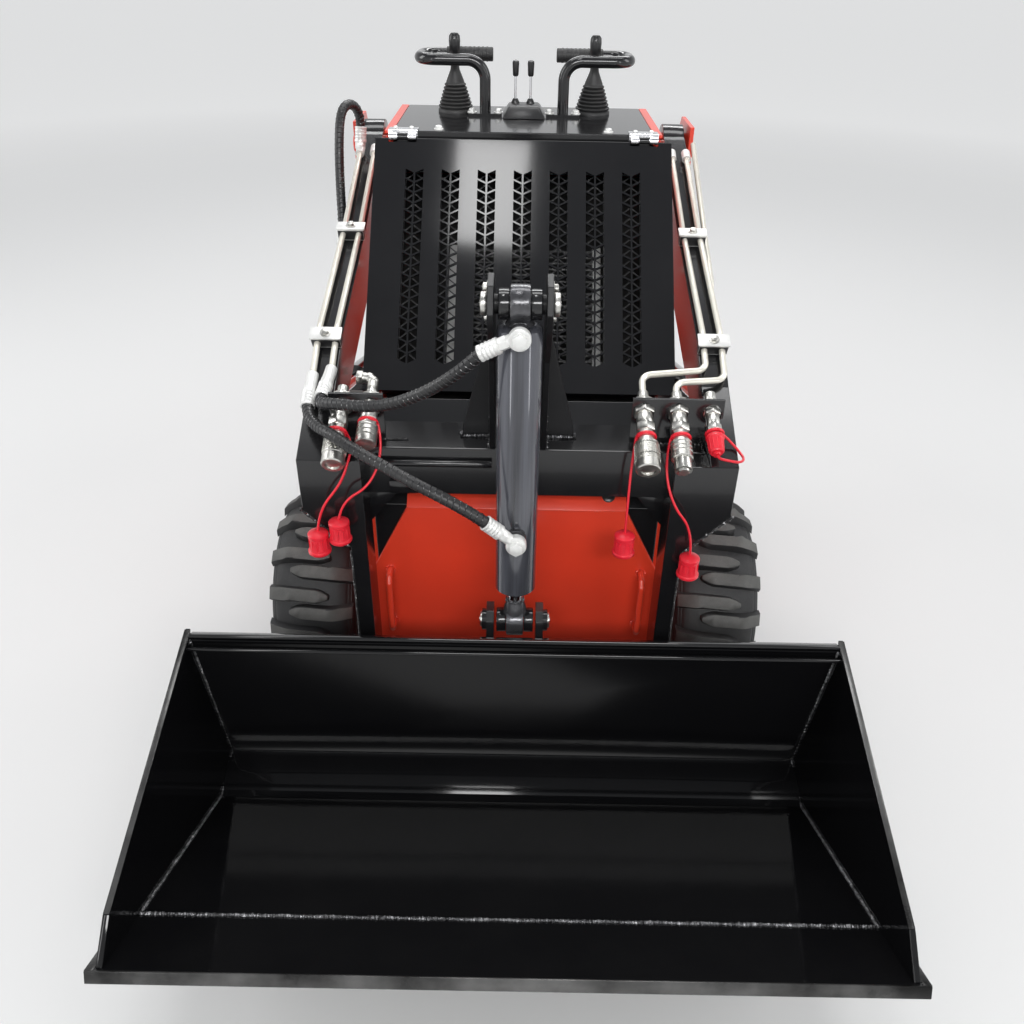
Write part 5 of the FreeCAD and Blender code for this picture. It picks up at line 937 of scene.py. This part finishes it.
shape = bmesh.new()
for column in range(hood["columns"]):
    middle = (column - 3) * hood["columnPitch"]
    last = hood["start"] + (hood["rows"] - 1) * hood["rowPitch"] + hood["slotLength"]
    for side in (-1, 1):
        addBox(shape, (middle + side * 0.0200 - 0.0016, -last - 0.006, -hood["behind"] - 0.002),
               (middle + side * 0.0200 + 0.0016, 0.0145 - hood["start"], -hood["behind"]), 0.0, hoodTurn)
    for row in range(hood["rows"]):
        for side in (-1, 1):
            at = -hood["start"] - row * hood["rowPitch"] - 0.002
            slat = Matrix.Translation((middle + side * 0.0100, at, -hood["behind"] - 0.001)) @ Matrix.Rotation(-side * math.radians(40), 4, "Z")
            addBox(shape, (-0.0125, -0.0011, -0.0008), (0.0125, 0.0011, 0.0008), 0.0, hoodTurn @ slat)
finishPiece("innerSlats", shape, "slatPaint", "hood")

cooler = {"half": 0.150, "tank": 0.017, "from": 0.215, "to": 0.505, "behind": 0.052, "fins": 21}
tanks, fins = bmesh.new(), bmesh.new()
for side in (-1, 1):
    middle = side * cooler["half"] + 0.008
    addBox(tanks, (middle - cooler["tank"] / 2, -cooler["to"], -cooler["behind"] - 0.03),
           (middle + cooler["tank"] / 2, -cooler["from"], -cooler["behind"]), 0.002, hoodTurn)
finishPiece("coolerTanks", tanks, "tankPaint", "chassis")
for number in range(cooler["fins"]):
    at = -cooler["from"] - 0.010 - number * (cooler["to"] - cooler["from"] - 0.02) / (cooler["fins"] - 1)
    addBox(fins, (0.016 - cooler["half"], at - 0.0020, -cooler["behind"] - 0.022), (cooler["half"], at + 0.0020, -cooler["behind"] - 0.003),
           0.0, hoodTurn)
finishPiece("coolerFins", fins, "finPaint", "chassis")
shape = bmesh.new()                                         # core and shroud behind the fins, carried by two side rails; the wide near-black sheet also stands in for the shade inside the hood
addBox(shape, (0.010 - cooler["half"], -cooler["to"], -cooler["behind"] - 0.034),
       (cooler["half"] + 0.006, -cooler["from"], -cooler["behind"] - 0.022), 0.001, hoodTurn)
addBox(shape, (-0.2745, -0.545, -cooler["behind"] - 0.046), (0.2745, -0.030, -cooler["behind"] - 0.036), 0.001, hoodTurn)
finishPiece("coolerShroudAndShade", shape, "shroudAndShadePaint", "chassis")
print("hood and cooler")


# Front of the machine: folded top of the red panel, its plug, and the tie-down loops.

shape = bmesh.new()
foldFrom, foldTo = Vector((-0.3465, 0.5995)), Vector((-0.2975, 0.6388))
run = foldTo - foldFrom
turn = Matrix.Translation((0, foldFrom.x, foldFrom.y)) @ Matrix.Rotation(math.atan2(run.y, run.x), 4, "X")
addBox(shape, (-0.2105, -0.001, 0.0004), (0.2105, run.length, 0.0024), 0.0008, turn)
for side in (-1, 1):                                         # loops of round bar
    points = [(side * 0.250, -0.3455, 0.452), (side * 0.250, -0.372, 0.452), (side * 0.250, -0.380, 0.440), (side * 0.250, -0.380, 0.332),
              (side * 0.250, -0.372, 0.320), (side * 0.250, -0.3455, 0.320)]
    for first, last in zip(points, points[1:]):
        addRod(shape, first, last, 0.0062, 16)
    for point in points[1:-1]:
        bmesh.ops.create_uvsphere(shape, u_segments=16, v_segments=8, radius=0.0062, matrix=Matrix.Translation(point))
finishPiece("panelFold", shape, "redPaint", "chassis")
shape = bmesh.new()
plug = turn @ Vector((0.176, run.length * 0.46, 0.0024))
up = (turn.to_3x3() @ Vector((0, 0, 1))).normalized()
addSpin(shape, [(-0.001, 0.0), (-0.001, 0.0125), (0.0012, 0.0125), (0.0028, 0.0105), (0.0030, 0.0), ], plug, plug + up, 32)
finishPiece("panelPlug", shape, "knobPlastic", "chassis")
shape = bmesh.new()
for side in (-1, 1):
    for height in (0.320, 0.452):
        ring = [Vector((side * 0.250 + 0.0085 * math.cos(t * math.tau / 12), -0.3462, height + 0.0085 * math.sin(t * math.tau / 12)))
                for t in range(13)]
        addBead(shape, ring, 0.0024, 0.0034)
finishPiece("loopWelds", shape, "redPaint", "chassis")

# Bolts along the side panels, the rear panel and the wheel motors.
shape = bmesh.new()
for side in (-1, 1):
    for along, height in ((-0.300, 0.200), (-0.300, 0.540), (0.150, 0.200), (0.600, 0.560), (0.300, 0.860), (0.520, 1.060), (0.050, 0.700)):
        addBolt(shape, (side * 0.281, along, height), (side, 0, 0), 0.015, 0.008)
    for across in (0.100, 0.225):
        addBolt(shape, (side * across, 0.655, 0.560), (0, 1, 0), 0.015, 0.008)
        addBolt(shape, (side * across, 0.655, 0.300), (0, 1, 0), 0.015, 0.008)
    for number in range(4):
        angle = (number + 0.5) * math.tau / 4
        for along in (-0.123, 0.500):
            addBolt(shape, (side * 0.300, along + 0.052 * math.cos(angle), 0.2285 + 0.052 * math.sin(angle)), (side, 0, 0), 0.013, 0.008, False)
    addRod(shape, (side * 0.3945, 0.550, 1.080), (side * 0.4045, 0.550, 1.080), 0.027, 40, 0.003)
    addRod(shape, (side * 0.404, 0.550, 1.080), (side * 0.4065, 0.550, 1.080), 0.0055, 20, 0.0008)
finishPiece("panelBolts", shape, "zinc", "chassis")
print("front and sides")


# Room, light and camera.

room = {"floorSize": 80.0, "floorColour": (0.66, 0.66, 0.655), "farGlow": 0.62, "lowColour": (0.92, 0.93, 0.94), "highColour": (0.36, 0.37, 0.39), "worldStrength": 0.9}
shape = bmesh.new()
bmesh.ops.create_grid(shape, x_segments=1, y_segments=1, size=room["floorSize"] / 2)
mesh = bpy.data.meshes.new("floor")
shape.to_mesh(mesh)
shape.free()
floor = bpy.data.objects.new("floor", mesh)
scene.collection.objects.link(floor)
floorFinish = bpy.data.materials.new("floorFinish")
floorFinish.use_nodes = True
floorShader = floorFinish.node_tree.nodes["Principled BSDF"]
floorShader.inputs["Base Color"].default_value = (*room["floorColour"], 1)
floorShader.inputs["Roughness"].default_value = 0.6
floorTree = floorFinish.node_tree                           # the floor stays as pale far away as it is near the lamps
spot = floorTree.nodes.new("ShaderNodeTexCoord")
away = floorTree.nodes.new("ShaderNodeVectorMath")
away.operation = "LENGTH"
floorTree.links.new(spot.outputs["Object"], away.inputs[0])
floorShader.inputs["Emission Color"].default_value = (*room["floorColour"], 1)
glow = rangeNode(floorTree, away.outputs["Value"], 1.6, 8.0, 0.0, room["farGlow"])
ray = floorTree.nodes.new("ShaderNodeLightPath")
seen = mathNode(floorTree, "MAXIMUM", ray.outputs["Is Camera Ray"], ray.outputs["Is Glossy Ray"])
floorTree.links.new(mathNode(floorTree, "MULTIPLY", glow, seen), floorShader.inputs["Emission Strength"])
mesh.materials.append(floorFinish)

softBoxes = [
    {"name": "overHood", "place": (-0.16, -0.60, 3.7), "aim": (-0.10, 0.1, 1.0), "size": (0.35, 0.50), "watts": 7},
    {"name": "overAll", "place": (0.0, 0.9, 4.6), "aim": (0.0, 0.0, 0.4), "size": (4.0, 1.0), "watts": 60},
    {"name": "overRear", "place": (0.2, 3.2, 3.6), "aim": (0.0, 0.2, 0.6), "size": (3.4, 0.7), "watts": 60},
    {"name": "leftWall", "place": (-3.6, 0.2, 2.4), "aim": (0.0, 0.0, 0.5), "size": (1.2, 2.6), "watts": 42},
    {"name": "rightWall", "place": (3.6, -0.2, 2.6), "aim": (0.0, 0.0, 0.5), "size": (1.2, 2.6), "watts": 34},
    {"name": "frontFill", "place": (0.3, -4.2, 3.3), "aim": (0.0, -0.4, 0.5), "size": (3.2, 0.8), "watts": 118},
    {"name": "leftStrip", "place": (-1.7, -2.5, 1.7), "aim": (0.0, -0.5, 0.8), "size": (0.22, 1.8), "watts": 7},
    {"name": "rightStrip", "place": (2.1, -2.1, 1.7), "aim": (0.0, -0.5, 0.8), "size": (0.22, 1.8), "watts": 7},
]
for box in softBoxes:
    lamp = bpy.data.lights.new(box["name"], "AREA")
    lamp.shape = "RECTANGLE"
    lamp.size, lamp.size_y = box["size"]
    lamp.energy = box["watts"]
    holder = bpy.data.objects.new(box["name"], lamp)
    holder.location = box["place"]
    holder.rotation_euler = (Vector(box["aim"]) - Vector(box["place"])).to_track_quat("-Z", "Y").to_euler()
    scene.collection.objects.link(holder)

world = bpy.data.worlds.new("room")
scene.world = world
world.use_nodes = True
heading = world.node_tree.nodes.new("ShaderNodeTexCoord")
parts = world.node_tree.nodes.new("ShaderNodeSeparateXYZ")
world.node_tree.links.new(heading.outputs["Generated"], parts.inputs["Vector"])
rise = rangeNode(world.node_tree, parts.outputs["Z"], 0.05, 0.75)
sky = mixColour(world.node_tree, rise, (*room["lowColour"], 1), (*room["highColour"], 1))
world.node_tree.links.new(sky, world.node_tree.nodes["Background"].inputs["Color"])
world.node_tree.nodes["Background"].inputs["Strength"].default_value = room["worldStrength"]

shot = {"place": (0.0, -1.79, 1.54), "pitchDown": 33.25, "roll": 1.05, "focalPixels": 900.0, "imagePixels": 1024.0,
        "shift": (-0.0045, 0.0)}
lens = bpy.data.cameras.new("shotLens")
lens.sensor_width = 36.0
lens.lens = shot["focalPixels"] / shot["imagePixels"] * 36.0
lens.shift_x, lens.shift_y = shot["shift"]
camera = bpy.data.objects.new("shotCamera", lens)
turn = Matrix.Rotation(math.radians(90 - shot["pitchDown"]), 4, "X") @ Matrix.Rotation(math.radians(shot["roll"]), 4, "Z")
camera.matrix_world = Matrix.Translation(shot["place"]) @ turn
scene.collection.objects.link(camera)
scene.camera = camera
scene.view_settings.view_transform = "Standard"
print("room, light and camera")
